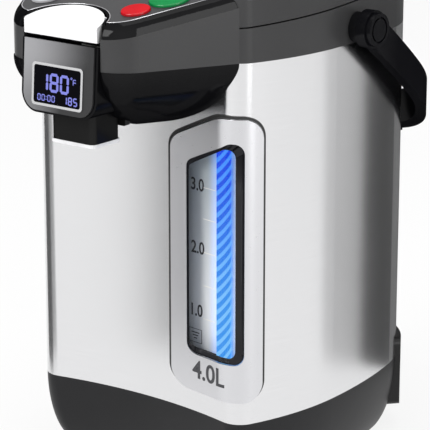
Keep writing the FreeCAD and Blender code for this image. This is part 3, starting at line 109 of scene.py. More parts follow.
class Finish:
    """A node tree under construction: a surface finish or the studio's world."""

    def __init__(self, name, colour=(0.5, 0.5, 0.5), roughness=0.5, metallic=0.0, **sockets):
        self.material = bpy.data.materials.new(name)
        self.material.use_nodes = True
        self.tree = self.material.node_tree
        self.shader = self.tree.nodes["Principled BSDF"]
        self.shader.inputs["Base Color"].default_value = (*colour, 1.0)
        self.shader.inputs["Roughness"].default_value = roughness
        self.shader.inputs["Metallic"].default_value = metallic
        for socket, value in sockets.items():
            self.shader.inputs[socket.replace("_", " ").title().replace("Ior", "IOR")].default_value = value

    def node(self, kind, settings=None, inputs=None, output=0):
        """Adds a node, applies its settings, then fills or links its sockets."""
        node = self.tree.nodes.new(kind)
        for key, setting in (settings or {}).items():
            if key == "stops":
                self.set_stops(node.color_ramp, setting)
            else:
                setattr(node, key, setting)
        for key, value in (inputs or {}).items():
            if isinstance(value, Value):
                self.tree.links.new(value.socket, node.inputs[key])
            else:
                node.inputs[key].default_value = value
        return Value(self, node.outputs[output])

    @staticmethod
    def set_stops(ramp, stops):
        while len(ramp.elements) < len(stops):
            ramp.elements.new(0.5)
        for element, (position, colour) in zip(ramp.elements, stops):
            element.position = position
            element.color = (*colour, 1.0)

    def feed(self, socket, value):
        self.tree.links.new(value.socket, self.shader.inputs[socket])

    def place(self, stretch=(1.0, 1.0, 1.0), turn=(0.0, 0.0, 0.0), move=(0.0, 0.0, 0.0)):
        """Object coordinates in metres, moved, turned and stretched."""
        where = self.node("ShaderNodeTexCoord", output="Object")
        inputs = {"Vector": where, "Location": move, "Rotation": turn, "Scale": stretch}
        return self.node("ShaderNodeMapping", {"vector_type": "POINT"}, inputs)

    def axes(self, vector):
        node = self.node("ShaderNodeSeparateXYZ", None, {0: vector}).socket.node
        return [Value(self, output) for output in node.outputs]

    def noise(self, scale, vector, detail=2.0, roughness=0.5):
        inputs = {"Vector": vector, "Scale": scale, "Detail": detail, "Roughness": roughness}
        return self.node("ShaderNodeTexNoise", None, inputs)

    def ramp(self, factor, *stops):
        return self.node("ShaderNodeValToRGB", {"stops": stops}, {0: factor})

    def blend(self, factor, first, second):
        """A colour between two others."""
        node = self.tree.nodes.new("ShaderNodeMix")
        node.data_type = "RGBA"
        factor_socket, first_socket, second_socket = (node.inputs[index] for index in (0, 6, 7))
        self.tree.links.new(factor.socket, factor_socket)
        for socket, colour in ((first_socket, first), (second_socket, second)):
            if isinstance(colour, Value):
                self.tree.links.new(colour.socket, socket)
            else:
                socket.default_value = (*colour, 1.0)
        return Value(self, node.outputs[2])

    def relief(self, height, strength, distance):
        inputs = {"Height": height, "Strength": strength, "Distance": distance}
        self.feed("Normal", self.node("ShaderNodeBump", None, inputs))


class Surroundings(Finish):
    """The world's node tree, built with the same tools as a surface finish."""

    def __init__(self, world):
        world.use_nodes = True
        self.tree = world.node_tree
        self.tree.nodes.clear()


def sees_background(finish):
    """1 for rays of the camera, of gloss and through clear pieces, which all see the white background."""
    seen = finish.node("ShaderNodeLightPath", output="Is Camera Ray")
    for ray in ("Is Glossy Ray", "Is Transmission Ray"):
        seen = seen.maths("MAXIMUM", seen, finish.node("ShaderNodeLightPath", output=ray))
    return seen


def coat(finish, *names):
    """Gives CAD nodes a finish through their material slots."""
    for name in names:
        piece = NODES[name]
        for slot in piece.material_slots:
            slot.material = finish.material


# Modelling

def let_go():
    """Leaves nothing selected."""
    if bpy.context.object and bpy.context.object.mode != "OBJECT":
        bpy.ops.object.mode_set(mode="OBJECT")
    bpy.ops.object.select_all(action="DESELECT")


def take(piece):
    let_go()
    piece.select_set(True)
    bpy.context.view_layer.objects.active = piece


def settle(piece, matrix):
    """Moves a piece to its place and puts the place into its mesh."""
    take(piece)
    piece.matrix_world = matrix
    bpy.ops.object.transform_apply(location=True, rotation=True, scale=True)


def deliver(piece, name, finish, body):
    """Names a finished piece, gives it its finish and lets it ride."""
    piece.name = name
    piece.data.name = name
    piece.data.materials.clear()
    piece.data.materials.append(finish.material)
    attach(piece, body)
    return piece


def join(pieces):
    take(pieces[0])
    for piece in pieces[1:]:
        piece.select_set(True)
    if len(pieces) > 1:
        bpy.ops.object.join()
    return bpy.context.object


def front_of(name, direction, least):
    """A loose copy of a CAD node's faces that look one way, with its doubles merged."""
    sheet = NODES[name].copy()
    sheet.data = sheet.data.copy()
    bpy.context.scene.collection.objects.link(sheet)
    sheet.parent = None
    sheet.matrix_world = Matrix.Identity(4)
    take(sheet)
    bpy.ops.object.mode_set(mode="EDIT")
    bpy.ops.mesh.select_mode(type="FACE")
    bpy.ops.mesh.select_all(action="SELECT")
    bpy.ops.mesh.remove_doubles(threshold=WELD)
    bpy.ops.mesh.select_all(action="DESELECT")
    bpy.ops.object.mode_set(mode="OBJECT")
    for polygon in sheet.data.polygons:
        polygon.select = polygon.normal.dot(direction) < least
    bpy.ops.object.mode_set(mode="EDIT")
    bpy.ops.mesh.delete(type="FACE")
    bpy.ops.object.mode_set(mode="OBJECT")
    return sheet


def use_modifier(piece, kind, **settings):
    take(piece)
    modifier = piece.modifiers.new(kind.title(), kind)
    for key, value in settings.items():
        setattr(modifier, key, value)
    bpy.ops.object.modifier_apply(modifier=modifier.name)


def plane_matrix(origin, along, up, out):
    """A place whose x runs along, y up and z out of a surface."""
    matrix = Matrix((along, up, out)).transposed().to_4x4()
    matrix.translation = origin
    return matrix


def gauge_plane():
    """An upright plane by the ridge that faces as the gauge does."""
    return plane_matrix(GAUGE_PLANE_OUT * GAUGE_OUT, GAUGE_ALONG, UP, GAUGE_OUT)


def face_towards(name, direction):
    """The middle and the normal of a node's flat face that looks one way."""
    mesh = NODES[name].data
    middle = Vector()
    normal = Vector()
    area = 0.0
    for polygon in mesh.polygons:
        if polygon.normal.dot(direction) > 0.97:
            middle += polygon.center * polygon.area
            normal += polygon.normal * polygon.area
            area += polygon.area
    if area == 0.0:
        raise RuntimeError("no face of " + name + " looks that way")
    return middle / area, normal.normalized()


def bar_mark(length, width):
    """A thin bar with pointed ends that lies along Y."""
    let_go()
    radius = width / math.sqrt(3.0)
    bpy.ops.mesh.primitive_circle_add(vertices=6, radius=radius, fill_type="NGON")
    piece = bpy.context.object
    reach = length / 2 - radius
    bpy.ops.object.mode_set(mode="EDIT")
    for side in (-1, 1):
        select_where(piece, lambda point: point.y * side > 1e-6)
        bpy.ops.transform.translate(value=(0.0, side * reach, 0.0))
    bpy.ops.mesh.select_all(action="SELECT")
    bpy.ops.mesh.extrude_region_move(TRANSFORM_OT_translate={"value": (0.0, 0.0, PRINT_THICK)})
    bpy.ops.object.mode_set(mode="OBJECT")
    return piece


def select_where(piece, test):
    """In edit mode, selects the vertices that a test takes."""
    bpy.ops.mesh.select_mode(type="VERT")
    bpy.ops.mesh.select_all(action="DESELECT")
    bpy.ops.object.mode_set(mode="OBJECT")
    for vertex in piece.data.vertices:
        vertex.select = test(vertex.co)
    bpy.ops.object.mode_set(mode="EDIT")


SEGMENTS = {
    "top": (0.0, 1.0, True),
    "middle": (0.0, 0.0, True),
    "foot": (0.0, -1.0, True),
    "upper left": (-1.0, 0.5, False),
    "upper right": (1.0, 0.5, False),
    "lower left": (-1.0, -0.5, False),
    "lower right": (1.0, -0.5, False),
}
SHAPES = {
    "0": ("top", "foot", "upper left", "upper right", "lower left", "lower right"),
    "1": ("upper right", "lower right"),
    "5": ("top", "middle", "foot", "upper left", "lower right"),
    "8": tuple(SEGMENTS),
    "F": ("top", "middle", "upper left", "lower left"),
}
SEGMENT_GAP = 0.12
DOT_LENGTH = 1.3
FIGURE_SHARE = 0.73


def segment_figure(figure, x, y, width, height, stroke):
    """One seven-segment figure whose lower left corner is at x, y."""
    across = width / 2 - stroke / 2
    rise = height / 2 - stroke / 2
    pieces = []
    for name in SHAPES[figure]:
        side, level, lying = SEGMENTS[name]
        bar = bar_mark((2 * across if lying else rise) - SEGMENT_GAP * stroke, stroke)
        place = Matrix.Translation((x + width / 2 + side * across, y + height / 2 + level * rise, 0.0))
        if lying:
            place = place @ Matrix.Rotation(math.pi / 2, 4, "Z")
        settle(bar, place)
        pieces.append(bar)
    return pieces


def segment_row(figures, x, y, width, height, stroke, gap):
    """A row of figures; a colon is two short bars."""
    pieces = []
    for figure in figures:
        if figure == ":":
            for level in (0.3, 0.7):
                dot = bar_mark(DOT_LENGTH * stroke, stroke)
                settle(dot, Matrix.Translation((x + stroke / 2, y + level * height, 0.0)))
                pieces.append(dot)
            x += stroke + gap
        else:
            pieces.extend(segment_figure(figure, x, y, width, height, stroke))
            x += width + gap
    return pieces


def lettering(words, height, x, y, stretch=1.0, bold=0.0):
    """Plain figures as a flat mesh, with the lower left corner at x, y."""
    let_go()
    bpy.ops.object.text_add()
    piece = bpy.context.object
    piece.data.body = words
    piece.data.size = height / FIGURE_SHARE
    piece.data.offset = bold
    bpy.ops.object.convert(target="MESH")
    piece = bpy.context.object
    bpy.ops.object.mode_set(mode="EDIT")
    bpy.ops.mesh.select_all(action="SELECT")
    bpy.ops.mesh.remove_doubles(threshold=0.000005)
    bpy.ops.mesh.subdivide(number_cuts=5)
    bpy.ops.object.mode_set(mode="OBJECT")
    low = min(vertex.co.y for vertex in piece.data.vertices)
    left = min(vertex.co.x for vertex in piece.data.vertices)
    place = Matrix.Translation((x, y, 0.0)) @ Matrix.Diagonal((stretch, 1.0, 1.0, 1.0))
    settle(piece, place @ Matrix.Translation((-left, -low, 0.0)))
    return piece


def rule_mark(x, y, width, height):
    """A flat bar, divided finely enough to lie on a curve."""
    let_go()
    bpy.ops.mesh.primitive_grid_add(x_subdivisions=8, y_subdivisions=2, size=1.0)
    piece = bpy.context.object
    settle(piece, Matrix.Translation((x + width / 2, y + height / 2, 0.0))
           @ Matrix.Diagonal((width, height, 1.0, 1.0)))
    return piece


def print_on(piece, matrix, target):
    """Lays flat marks on a curved node, the way a pad printer does."""
    settle(piece, Matrix.Translation((0.0, 0.0, 0.05)))
    piece.matrix_world = matrix
    use_modifier(piece, "SHRINKWRAP", target=NODES[target], wrap_method="PROJECT", use_project_z=True,
                 use_negative_direction=True, use_positive_direction=False, cull_face="BACK",
                 offset=PRINT_GAP)
    settle(piece, matrix)
    use_modifier(piece, "SOLIDIFY", thickness=PRINT_THICK, offset=1.0)
    return piece


# What a user would change

class PotStudio(bpy.types.PropertyGroup):
    floor_colour: bpy.props.FloatVectorProperty(
        name="Floor colour", description="Colour of the pale floor", subtype="COLOR", size=3,
        default=(0.86, 0.86, 0.86))
    floor_width: bpy.props.FloatProperty(
        name="Floor width", description="Side of the square floor", default=9.0, unit="LENGTH")
    key_power: bpy.props.FloatProperty(
        name="Key lamp", description="Power of the large soft lamp in front", default=26.0, unit="POWER")
    side_power: bpy.props.FloatProperty(
        name="Side lamp", description="Power of the tall lamp at the right", default=12.0, unit="POWER")
    top_power: bpy.props.FloatProperty(
        name="Top lamp", description="Power of the lamp overhead", default=14.0, unit="POWER")
    ambient: bpy.props.FloatProperty(
        name="Ambient", description="Strength of the white surroundings on the object", default=0.55)
    floor_lift: bpy.props.FloatProperty(
        name="Floor lift", description="Share of pure white in the floor that the camera and gloss see",
        default=0.85, subtype="FACTOR")
    lens: bpy.props.FloatProperty(
        name="Lens", description="Focal length of the camera", default=190.8, unit="CAMERA")


def colour_property(name, description, default):
    return bpy.props.FloatVectorProperty(
        name=name, description=description, subtype="COLOR", size=3, default=default)


class PotColours(bpy.types.PropertyGroup):
    steel: colour_property("Steel", "Brushed stainless body", (0.80, 0.80, 0.81))
    collar: colour_property("Collar", "Satin dark grey collar and lid", (0.040, 0.040, 0.041))
    gloss: colour_property("Gloss black", "Chin, bevel and spout head", (0.003, 0.003, 0.0035))
    panel: colour_property("Panel", "Fine matt control panel", (0.016, 0.016, 0.018))
    head: colour_property("Spout face", "Grey face of the spout head", (0.13, 0.13, 0.135))
    silver: colour_property("Silver", "Satin frame of the gauge", (0.68, 0.68, 0.70))
    dial: colour_property("Dial", "Grey plate behind the gauge window", (0.72, 0.73, 0.74))
    red: colour_property("Red key", "Small key at the right", (0.50, 0.006, 0.012))
    green: colour_property("Green key", "Large key at the right", (0.004, 0.20, 0.05))
    grey: colour_property("Grey keys", "Keys at the left", (0.42, 0.42, 0.44))
    deep_blue: colour_property("Deep blue", "Top of the lit column", (0.002, 0.055, 0.80))
    light_blue: colour_property("Light blue", "Foot of the lit column", (0.04, 0.30, 0.86))
    figures: colour_property("Figures", "Lit figures of the display", (0.223, 0.243, 0.80))


class PotMarks(bpy.types.PropertyGroup):
    numeral_height: bpy.props.FloatProperty(
        name="Numeral height", description="Height of the gauge's numerals", default=0.0084, unit="LENGTH")
    capacity_height: bpy.props.FloatProperty(
        name="Capacity height", description="Height of the capacity mark", default=0.0125, unit="LENGTH")
    figure_height: bpy.props.FloatProperty(
        name="Figure height", description="Height of the display's large figures", default=0.0119,
        unit="LENGTH")
    trim_radius: bpy.props.FloatProperty(
        name="Edge line", description="Radius of the bright line round the panel", default=0.00032,
        unit="LENGTH")


# Finishes

def steel_finish(colours):
    """Stainless sheet with fine level hairlines and a little waviness."""
    finish = Finish("brushed stainless", colours.steel, 0.24, 1.0)
    lines = finish.noise(1.0, finish.place((30.0, 30.0, 9000.0)), 3.0, 0.6)
    cloud = finish.noise(9.0, finish.place(), 2.0)
    shade = finish.ramp(lines, (0.25, (0.74, 0.74, 0.75)), (0.75, tuple(colours.steel)))
    finish.feed("Base Color", shade)
    finish.feed("Roughness", 0.13 + 0.07 * lines + 0.05 * cloud)
    finish.relief(lines, 0.12, 0.00004)
    return finish


def satin_metal(name, colour, roughness=0.32, scale=420.0):
    finish = Finish(name, colour, roughness, 1.0)
    grain = finish.noise(scale, finish.place(), 3.0)
    finish.feed("Roughness", roughness - 0.06 + 0.12 * grain)
    finish.relief(grain, 0.08, 0.00005)
    return finish


def moulded(name, colour, roughness, grain_scale=900.0, depth=0.25, lift=0.25):
    """Moulded plastic: spark-eroded grain and faint cloudiness."""
    finish = Finish(name, colour, roughness, specular_ior_level=0.25)
    grain = finish.noise(grain_scale, finish.place(), 3.0, 0.6)
    cloud = finish.noise(14.0, finish.place(), 3.0)
    light = tuple(min(1.0, part * (1.0 + lift)) for part in colour)
    dark = tuple(part * (1.0 - lift) for part in colour)
    finish.feed("Base Color", finish.ramp(0.35 * grain + 0.65 * cloud, (0.3, dark), (0.7, light)))
    finish.feed("Roughness", roughness - 0.05 + 0.06 * grain + 0.06 * cloud)
    finish.relief(grain, depth, 0.00003)
    return finish


def gloss_plastic(name, colour, roughness=0.09, shine=0.35):
    """High gloss moulding with a trace of orange peel; its gloss fades where it turns away."""
    finish = Finish(name, colour, roughness, specular_ior_level=0.0, coat_roughness=roughness)
    straight = 1.0 - finish.node("ShaderNodeLayerWeight", None, {"Blend": 0.5}, output="Facing")
    finish.feed("Coat Weight", shine * straight * straight)
    peel = finish.noise(160.0, finish.place(), 2.0)
    smears = finish.noise(35.0, finish.place((1.0, 1.0, 0.4)), 4.0)
    light = tuple(part * 1.5 for part in colour)
    finish.feed("Base Color", finish.ramp(smears, (0.35, tuple(colour)), (0.8, light)))
    finish.feed("Roughness", roughness - 0.03 + 0.08 * smears)
    finish.relief(peel, 0.05, 0.00006)
    return finish


def chrome_finish():
    finish = Finish("plated silver", (0.88, 0.88, 0.89), 0.12, 0.35)
    smears = finish.noise(60.0, finish.place(), 4.0)
    finish.feed("Roughness", 0.09 + 0.08 * smears)
    finish.relief(smears, 0.02, 0.0001)
    return finish


def rubber(name, colour, roughness=0.7):
    finish = Finish(name, colour, roughness)
    grain = finish.noise(1500.0, finish.place(), 2.0)
    dust = finish.noise(60.0, finish.place(), 3.0)
    pale = tuple(min(1.0, part * 1.35 + 0.01) for part in colour)
    finish.feed("Base Color", finish.ramp(dust, (0.35, tuple(colour)), (0.8, pale)))
    finish.feed("Roughness", roughness + 0.1 * grain)
    finish.relief(grain, 0.3, 0.00004)
    return finish


def lit(name, colour, strength=1.0, roughness=0.3):
    """A lit film: its colour comes from behind."""
    finish = Finish(name, (0.0, 0.0, 0.0), roughness, emission_strength=strength)
    shimmer = finish.noise(700.0, finish.place(), 2.0)
    dim = tuple(part * 0.9 for part in colour)
    finish.feed("Emission Color", finish.ramp(shimmer, (0.3, dim), (0.7, tuple(colour))))
    return finish


# Operators: the stage, then the pot from its base up

class STUDIO_OT_stage(bpy.types.Operator):
    """Lays the pale floor, lights the studio and sets the camera"""
    bl_idname = "thermo_pot.stage"
    bl_label = "Stage"

    def execute(self, context):
        studio = context.scene.pot_studio
        self.lay_floor(studio)
        self.stand_cards()
        self.hang_lamps(studio)
        self.light_world(studio)
        self.set_camera(studio)
        context.scene.view_settings.view_transform = "Standard"
        return {"FINISHED"}

    def lay_floor(self, studio):
        let_go()
        bpy.ops.mesh.primitive_grid_add(x_subdivisions=8, y_subdivisions=8, size=studio.floor_width)
        floor = bpy.context.object
        floor_gap = 0.2 * MM
        settle(floor, Matrix.Translation((0.0, 0.0, -floor_gap)))
        finish = Finish("pale floor", studio.floor_colour, 0.55, specular_ior_level=0.2)
        mottle = finish.noise(3.0, finish.place(), 3.0)
        low = tuple(part * 0.985 for part in studio.floor_colour)
        finish.feed("Base Color", finish.ramp(mottle, (0.3, low), (0.7, tuple(studio.floor_colour))))
        self.brighten(finish, studio)
        floor.name = "floor"
        floor.data.materials.append(finish.material)

    def brighten(self, finish, studio):
        """Lifts the floor to white for the camera, metal and glass; it keeps the pot's shadow."""
        white = finish.node("ShaderNodeEmission", None, {"Color": WHITE, "Strength": 1.0})
        surface = Value(finish, finish.shader.outputs[0])
        lift = sees_background(finish) * studio.floor_lift
        lifted = finish.node("ShaderNodeMixShader", None, {0: lift, 1: surface, 2: white})
        output = finish.tree.nodes["Material Output"]
        finish.tree.links.new(lifted.socket, output.inputs["Surface"])

    def stand_cards(self):
        """Grey and dark cards near the pot that only its gloss sees, as a product studio has."""
        tall = 0.6
        cards = (
            ("left front card", (-0.160, -0.289), (-0.235, -0.250), 0.45),
            ("left card", (-0.195, -0.225), (-0.275, -0.115), 0.14),
            ("right card", (0.265, 0.135), (0.178, 0.180), 0.58),
            ("right rear card", (0.178, 0.180), (0.112, 0.190), 0.10),
            ("rear card", (0.112, 0.190), (-0.120, 0.200), 0.30),
        )
        for name, start, end, shade in cards:
            finish = Finish(name, (shade, shade, shade), 0.9, specular_ior_level=0.1)
            weave = finish.noise(300.0, finish.place(), 2.0)
            finish.feed("Roughness", 0.85 + 0.1 * weave)
            reach = Vector((*end, 0.0)) - Vector((*start, 0.0))
            middle = Vector((*start, 0.0)) + reach / 2 + tall / 2 * UP
            along = reach.normalized()
            let_go()
            bpy.ops.mesh.primitive_grid_add(x_subdivisions=4, y_subdivisions=4, size=1.0)
            card = bpy.context.object
            matrix = plane_matrix(middle, along, UP, along.cross(UP))
            settle(card, matrix @ Matrix.Diagonal((reach.length, tall, 1.0, 1.0)))
            card.name = name
            card.data.materials.append(finish.material)
            for ray in ("camera", "diffuse", "transmission", "shadow"):
                setattr(card, "visible_" + ray, False)

    def hang_lamps(self, studio):
        aim = Vector((0.0, 0.0, 0.17))
        lamps = (
            ("key lamp", (-0.55, -1.75, 1.15), 1.1, 1.0, studio.key_power),
            ("side lamp", (1.85, -0.35, 0.75), 0.7, 1.5, studio.side_power),
            ("top lamp", (0.1, 0.15, 1.9), 1.5, 1.5, studio.top_power),
        )
        for name, place, width, height, power in lamps:
            let_go()
            bpy.ops.object.light_add(type="AREA", location=place)
            lamp = bpy.context.object
            lamp.name = name
            lamp.data.shape = "RECTANGLE"
            lamp.data.size = width
            lamp.data.size_y = height
            lamp.data.energy = power
            lamp.rotation_euler = (aim - Vector(place)).to_track_quat("-Z", "Y").to_euler()

    def light_world(self, studio):
        """White for the camera, metal and glass, and a soft fill on the pot."""
        world = bpy.data.worlds.new("studio")
        bpy.context.scene.world = world
        sky = Surroundings(world)
        white = sky.node("ShaderNodeBackground", None, {"Color": WHITE, "Strength": 1.0})
        fill = sky.node("ShaderNodeBackground", None, {"Color": WHITE, "Strength": studio.ambient})
        both = sky.node("ShaderNodeMixShader", None, {0: sees_background(sky), 1: fill, 2: white})
        output = sky.tree.nodes.new("ShaderNodeOutputWorld")
        sky.tree.links.new(both.socket, output.inputs["Surface"])

    def set_camera(self, studio):
        let_go()
        bpy.ops.object.camera_add(location=CAMERA_PLACE)
        camera = bpy.context.object
        camera.name = "camera"
        camera.rotation_euler = (CAMERA_AIM - CAMERA_PLACE).to_track_quat("-Z", "Y").to_euler()
        camera.data.lens = studio.lens
        camera.data.sensor_width = 36.0
        camera.data.clip_end = 50.0
        bpy.context.scene.camera = camera


class STUDIO_OT_base(bpy.types.Operator):
    """Finishes the base, its turning ring, its feet and the power inlet"""
    bl_idname = "thermo_pot.base"
    bl_label = "Base"

    def execute(self, context):
        colours = context.scene.pot_colours
        coat(moulded("base plastic", (0.009, 0.009, 0.010), 0.42), "base_skirt", "base_plate", "swivel_ring")
        coat(moulded("inlet plastic", (0.010, 0.010, 0.010), 0.3), "inlet_housing")
        coat(rubber("foot rubber", (0.02, 0.02, 0.02)), "foot_pads", "gauge_gasket")
        coat(satin_metal("screw steel", colours.steel, 0.3), "base_screws", "hinge_pin", "lever_pin")
        coat(satin_metal("contact brass", (0.75, 0.55, 0.28), 0.25), "inlet_pins")
        return {"FINISHED"}


class STUDIO_OT_body(bpy.types.Operator):
    """Finishes the steel body, the collar, the lid and the chin"""
    bl_idname = "thermo_pot.body"
    bl_label = "Body and lid"

    def execute(self, context):
        colours = context.scene.pot_colours
        coat(steel_finish(colours), "outer_shell")
        coat(moulded("collar plastic", tuple(colours.collar), 0.34, depth=0.15, lift=0.10),
             "upper_collar", "lid_cover")
        coat(gloss_plastic("chin plastic", tuple(colours.gloss), 0.12), "chin_cover")
        coat(gloss_plastic("bevel plastic", tuple(colours.gloss), 0.07), "panel_bezel", "lever_surround")
        coat(moulded("vent plastic", (0.012, 0.012, 0.012), 0.4), "steam_vent")
        return {"FINISHED"}


class STUDIO_OT_panel(bpy.types.Operator):
    """Finishes the control panel, its keys and the chrome release lever"""
    bl_idname = "thermo_pot.panel"
    bl_label = "Control panel"

    def execute(self, context):
        colours = context.scene.pot_colours
        coat(moulded("panel plastic", tuple(colours.panel), 0.42, depth=0.2, lift=0.12), "control_panel")
        coat(gloss_plastic("green key", tuple(colours.green), 0.10, 1.0), "dispense_button")
        coat(gloss_plastic("red key", tuple(colours.red), 0.10, 1.0), "reboil_button")
        coat(gloss_plastic("grey key", tuple(colours.grey), 0.2), "unlock_button", "timer_button")
        coat(chrome_finish(), "release_lever")
        coat(moulded("circuit board", (0.02, 0.14, 0.06), 0.4), "button_board", "main_board")
        coat(moulded("switch plastic", (0.02, 0.02, 0.02), 0.5), "tact_switches")
        return {"FINISHED"}


class STUDIO_OT_edge_line(bpy.types.Operator):
    """Draws the bright line that runs round the control panel"""
    bl_idname = "thermo_pot.edge_line"
    bl_label = "Panel edge line"

    def execute(self, context):
        marks = context.scene.pot_marks
        _, normal = face_towards("control_panel", Vector((0.0, -0.2, 0.98)))
        sheet = front_of("control_panel", normal, 0.99)
        self.keep_outline(sheet)
        take(sheet)
        bpy.ops.object.convert(target="CURVE")
        line = bpy.context.object
        line.data.bevel_depth = marks.trim_radius
        line.data.bevel_resolution = 2
        bpy.ops.object.convert(target="MESH")
        line = bpy.context.object
        deliver(line, "panel_edge_line", satin_metal("edge line", (0.55, 0.55, 0.57), 0.3), "pot")
        bpy.ops.object.shade_smooth()
        return {"FINISHED"}

    def keep_outline(self, sheet):
        """Keeps only the edges of the panel's outline, without those round its keys."""
        key_gap = 1.5 * MM
        rings = []
        for name in ("dispense_button", "reboil_button", "unlock_button", "timer_button"):
            low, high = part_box(name)
            rings.append(((low + high) / 2, (high.x - low.x) / 2 + key_gap))
        take(sheet)
        bpy.ops.object.mode_set(mode="EDIT")
        bpy.ops.mesh.select_mode(type="EDGE")
        bpy.ops.mesh.select_all(action="DESELECT")
        bpy.ops.object.mode_set(mode="OBJECT")
        counts = {}
        for polygon in sheet.data.polygons:
            for key in polygon.edge_keys:
                counts[key] = counts.get(key, 0) + 1
        points = sheet.data.vertices
        for edge in sheet.data.edges:
            middle = (points[edge.vertices[0]].co + points[edge.vertices[1]].co) / 2
            near = any((middle - centre).xy.length < reach for centre, reach in rings)
            edge.select = near or counts.get(edge.key, 0) > 1
        bpy.ops.object.mode_set(mode="EDIT")
        bpy.ops.mesh.delete(type="EDGE")
        bpy.ops.mesh.select_all(action="SELECT")
        bpy.ops.mesh.delete(type="ONLY_FACE")
        bpy.ops.object.mode_set(mode="OBJECT")


class STUDIO_OT_head(bpy.types.Operator):
    """Finishes the spout head, the nozzle and the display's frame and glass"""
    bl_idname = "thermo_pot.head"
    bl_label = "Spout head"

    def execute(self, context):
        colours = context.scene.pot_colours
        coat(gloss_plastic("head shell", tuple(colours.gloss), 0.14), "spout_head")
        coat(self.face_with_painted_reflection(colours), "head_face")
        coat(satin_metal("display frame", (0.66, 0.66, 0.67), 0.25), "display_frame")
        coat(gloss_plastic("display glass", (0.001, 0.001, 0.002), 0.05, 0.15), "display_window")
        coat(gloss_plastic("nozzle plastic", (0.006, 0.006, 0.006), 0.16), "nozzle_block")
        coat(moulded("bracket plastic", (0.006, 0.006, 0.006), 0.4), "nozzle_bracket")
        coat(gloss_plastic("nozzle lip", (0.62, 0.62, 0.63), 0.15, 1.0), "nozzle_lip")
        return {"FINISHED"}

    def face_with_painted_reflection(self, colours):
        """Metallic grey lacquer with a painted reflection and shade: its colour is painted lighter at the
        left and top and darker to the right and at the foot.
        """
        finish = moulded("head lacquer with painted reflection", tuple(colours.head), 0.32, 1400.0, 0.1, 0.1)
        x, _, z = finish.axes(finish.place())
        # Painted reflection and shade: the face's grey is scaled from 2.6 times at the left and top down to
        # 0.28 times at the right and foot.
        right = x.ease(-0.030, 0.034) + 0.45 * (1.0 - z.ease(0.262, 0.302))
        light = tuple(part * 2.6 for part in colours.head)
        dark = tuple(part * 0.28 for part in colours.head)
        flake = finish.noise(2600.0, finish.place(), 1.0)
        finish.feed("Base Color", finish.blend(right + 0.1 * flake, light, dark))
        finish.shader.inputs["Metallic"].default_value = 0.35
        return finish


class STUDIO_OT_figures(bpy.types.Operator):
    """Builds the lit figures of the display"""
    bl_idname = "thermo_pot.figures"
    bl_label = "Display figures"

    def execute(self, context):
        colours = context.scene.pot_colours
        height = context.scene.pot_marks.figure_height
        middle, out = face_towards("display_window", Vector((0.0, -0.9976, 0.0694)))
        along = Vector((1.0, 0.0, 0.0))
        up = out.cross(along)
        glass_gap = 0.03 * MM
        matrix = plane_matrix(middle + glass_gap * out, along, up, out)
        finish = lit("lit figures", tuple(colours.figures), 1.0)
        foot, stroke = -4.2 * MM, 1.75 * MM
        big = segment_figure("1", -14.6 * MM, foot, 7.1 * MM, height, stroke)
        big += segment_row("80", -6.3 * MM, foot, 7.3 * MM, height, stroke, 1.2 * MM)
        timer = segment_row("00:00", -16.2 * MM, -10.4 * MM, 2.75 * MM, 4.2 * MM, 0.62 * MM, 0.72 * MM)
        preset = segment_row("185", 4.9 * MM, -10.6 * MM, 3.4 * MM, 5.3 * MM, 0.85 * MM, 0.8 * MM)
        unit = segment_figure("F", 12.7 * MM, 2.1 * MM, 2.9 * MM, 4.0 * MM, 0.62 * MM)
        unit.append(self.degree_ring(11.5 * MM, 6.4 * MM))
        for name, pieces in (("temperature_figures", big), ("timer_figures", timer),
                             ("preset_figures", preset), ("unit_figures", unit)):
            group = join(pieces)
            settle(group, matrix)
            deliver(group, name, finish, "pot")
        return {"FINISHED"}

    def degree_ring(self, x, y):
        let_go()
        bpy.ops.mesh.primitive_circle_add(vertices=20, radius=0.75 * MM, fill_type="NGON")
        ring = bpy.context.object
        bpy.ops.object.mode_set(mode="EDIT")
        bpy.ops.mesh.select_mode(type="FACE")
        bpy.ops.mesh.select_all(action="SELECT")
        bpy.ops.mesh.inset(thickness=0.42 * MM)
        bpy.ops.mesh.delete(type="FACE")
        bpy.ops.object.mode_set(mode="OBJECT")
        use_modifier(ring, "SOLIDIFY", thickness=PRINT_THICK, offset=1.0)
        settle(ring, Matrix.Translation((x, y, 0.0)))
        return ring


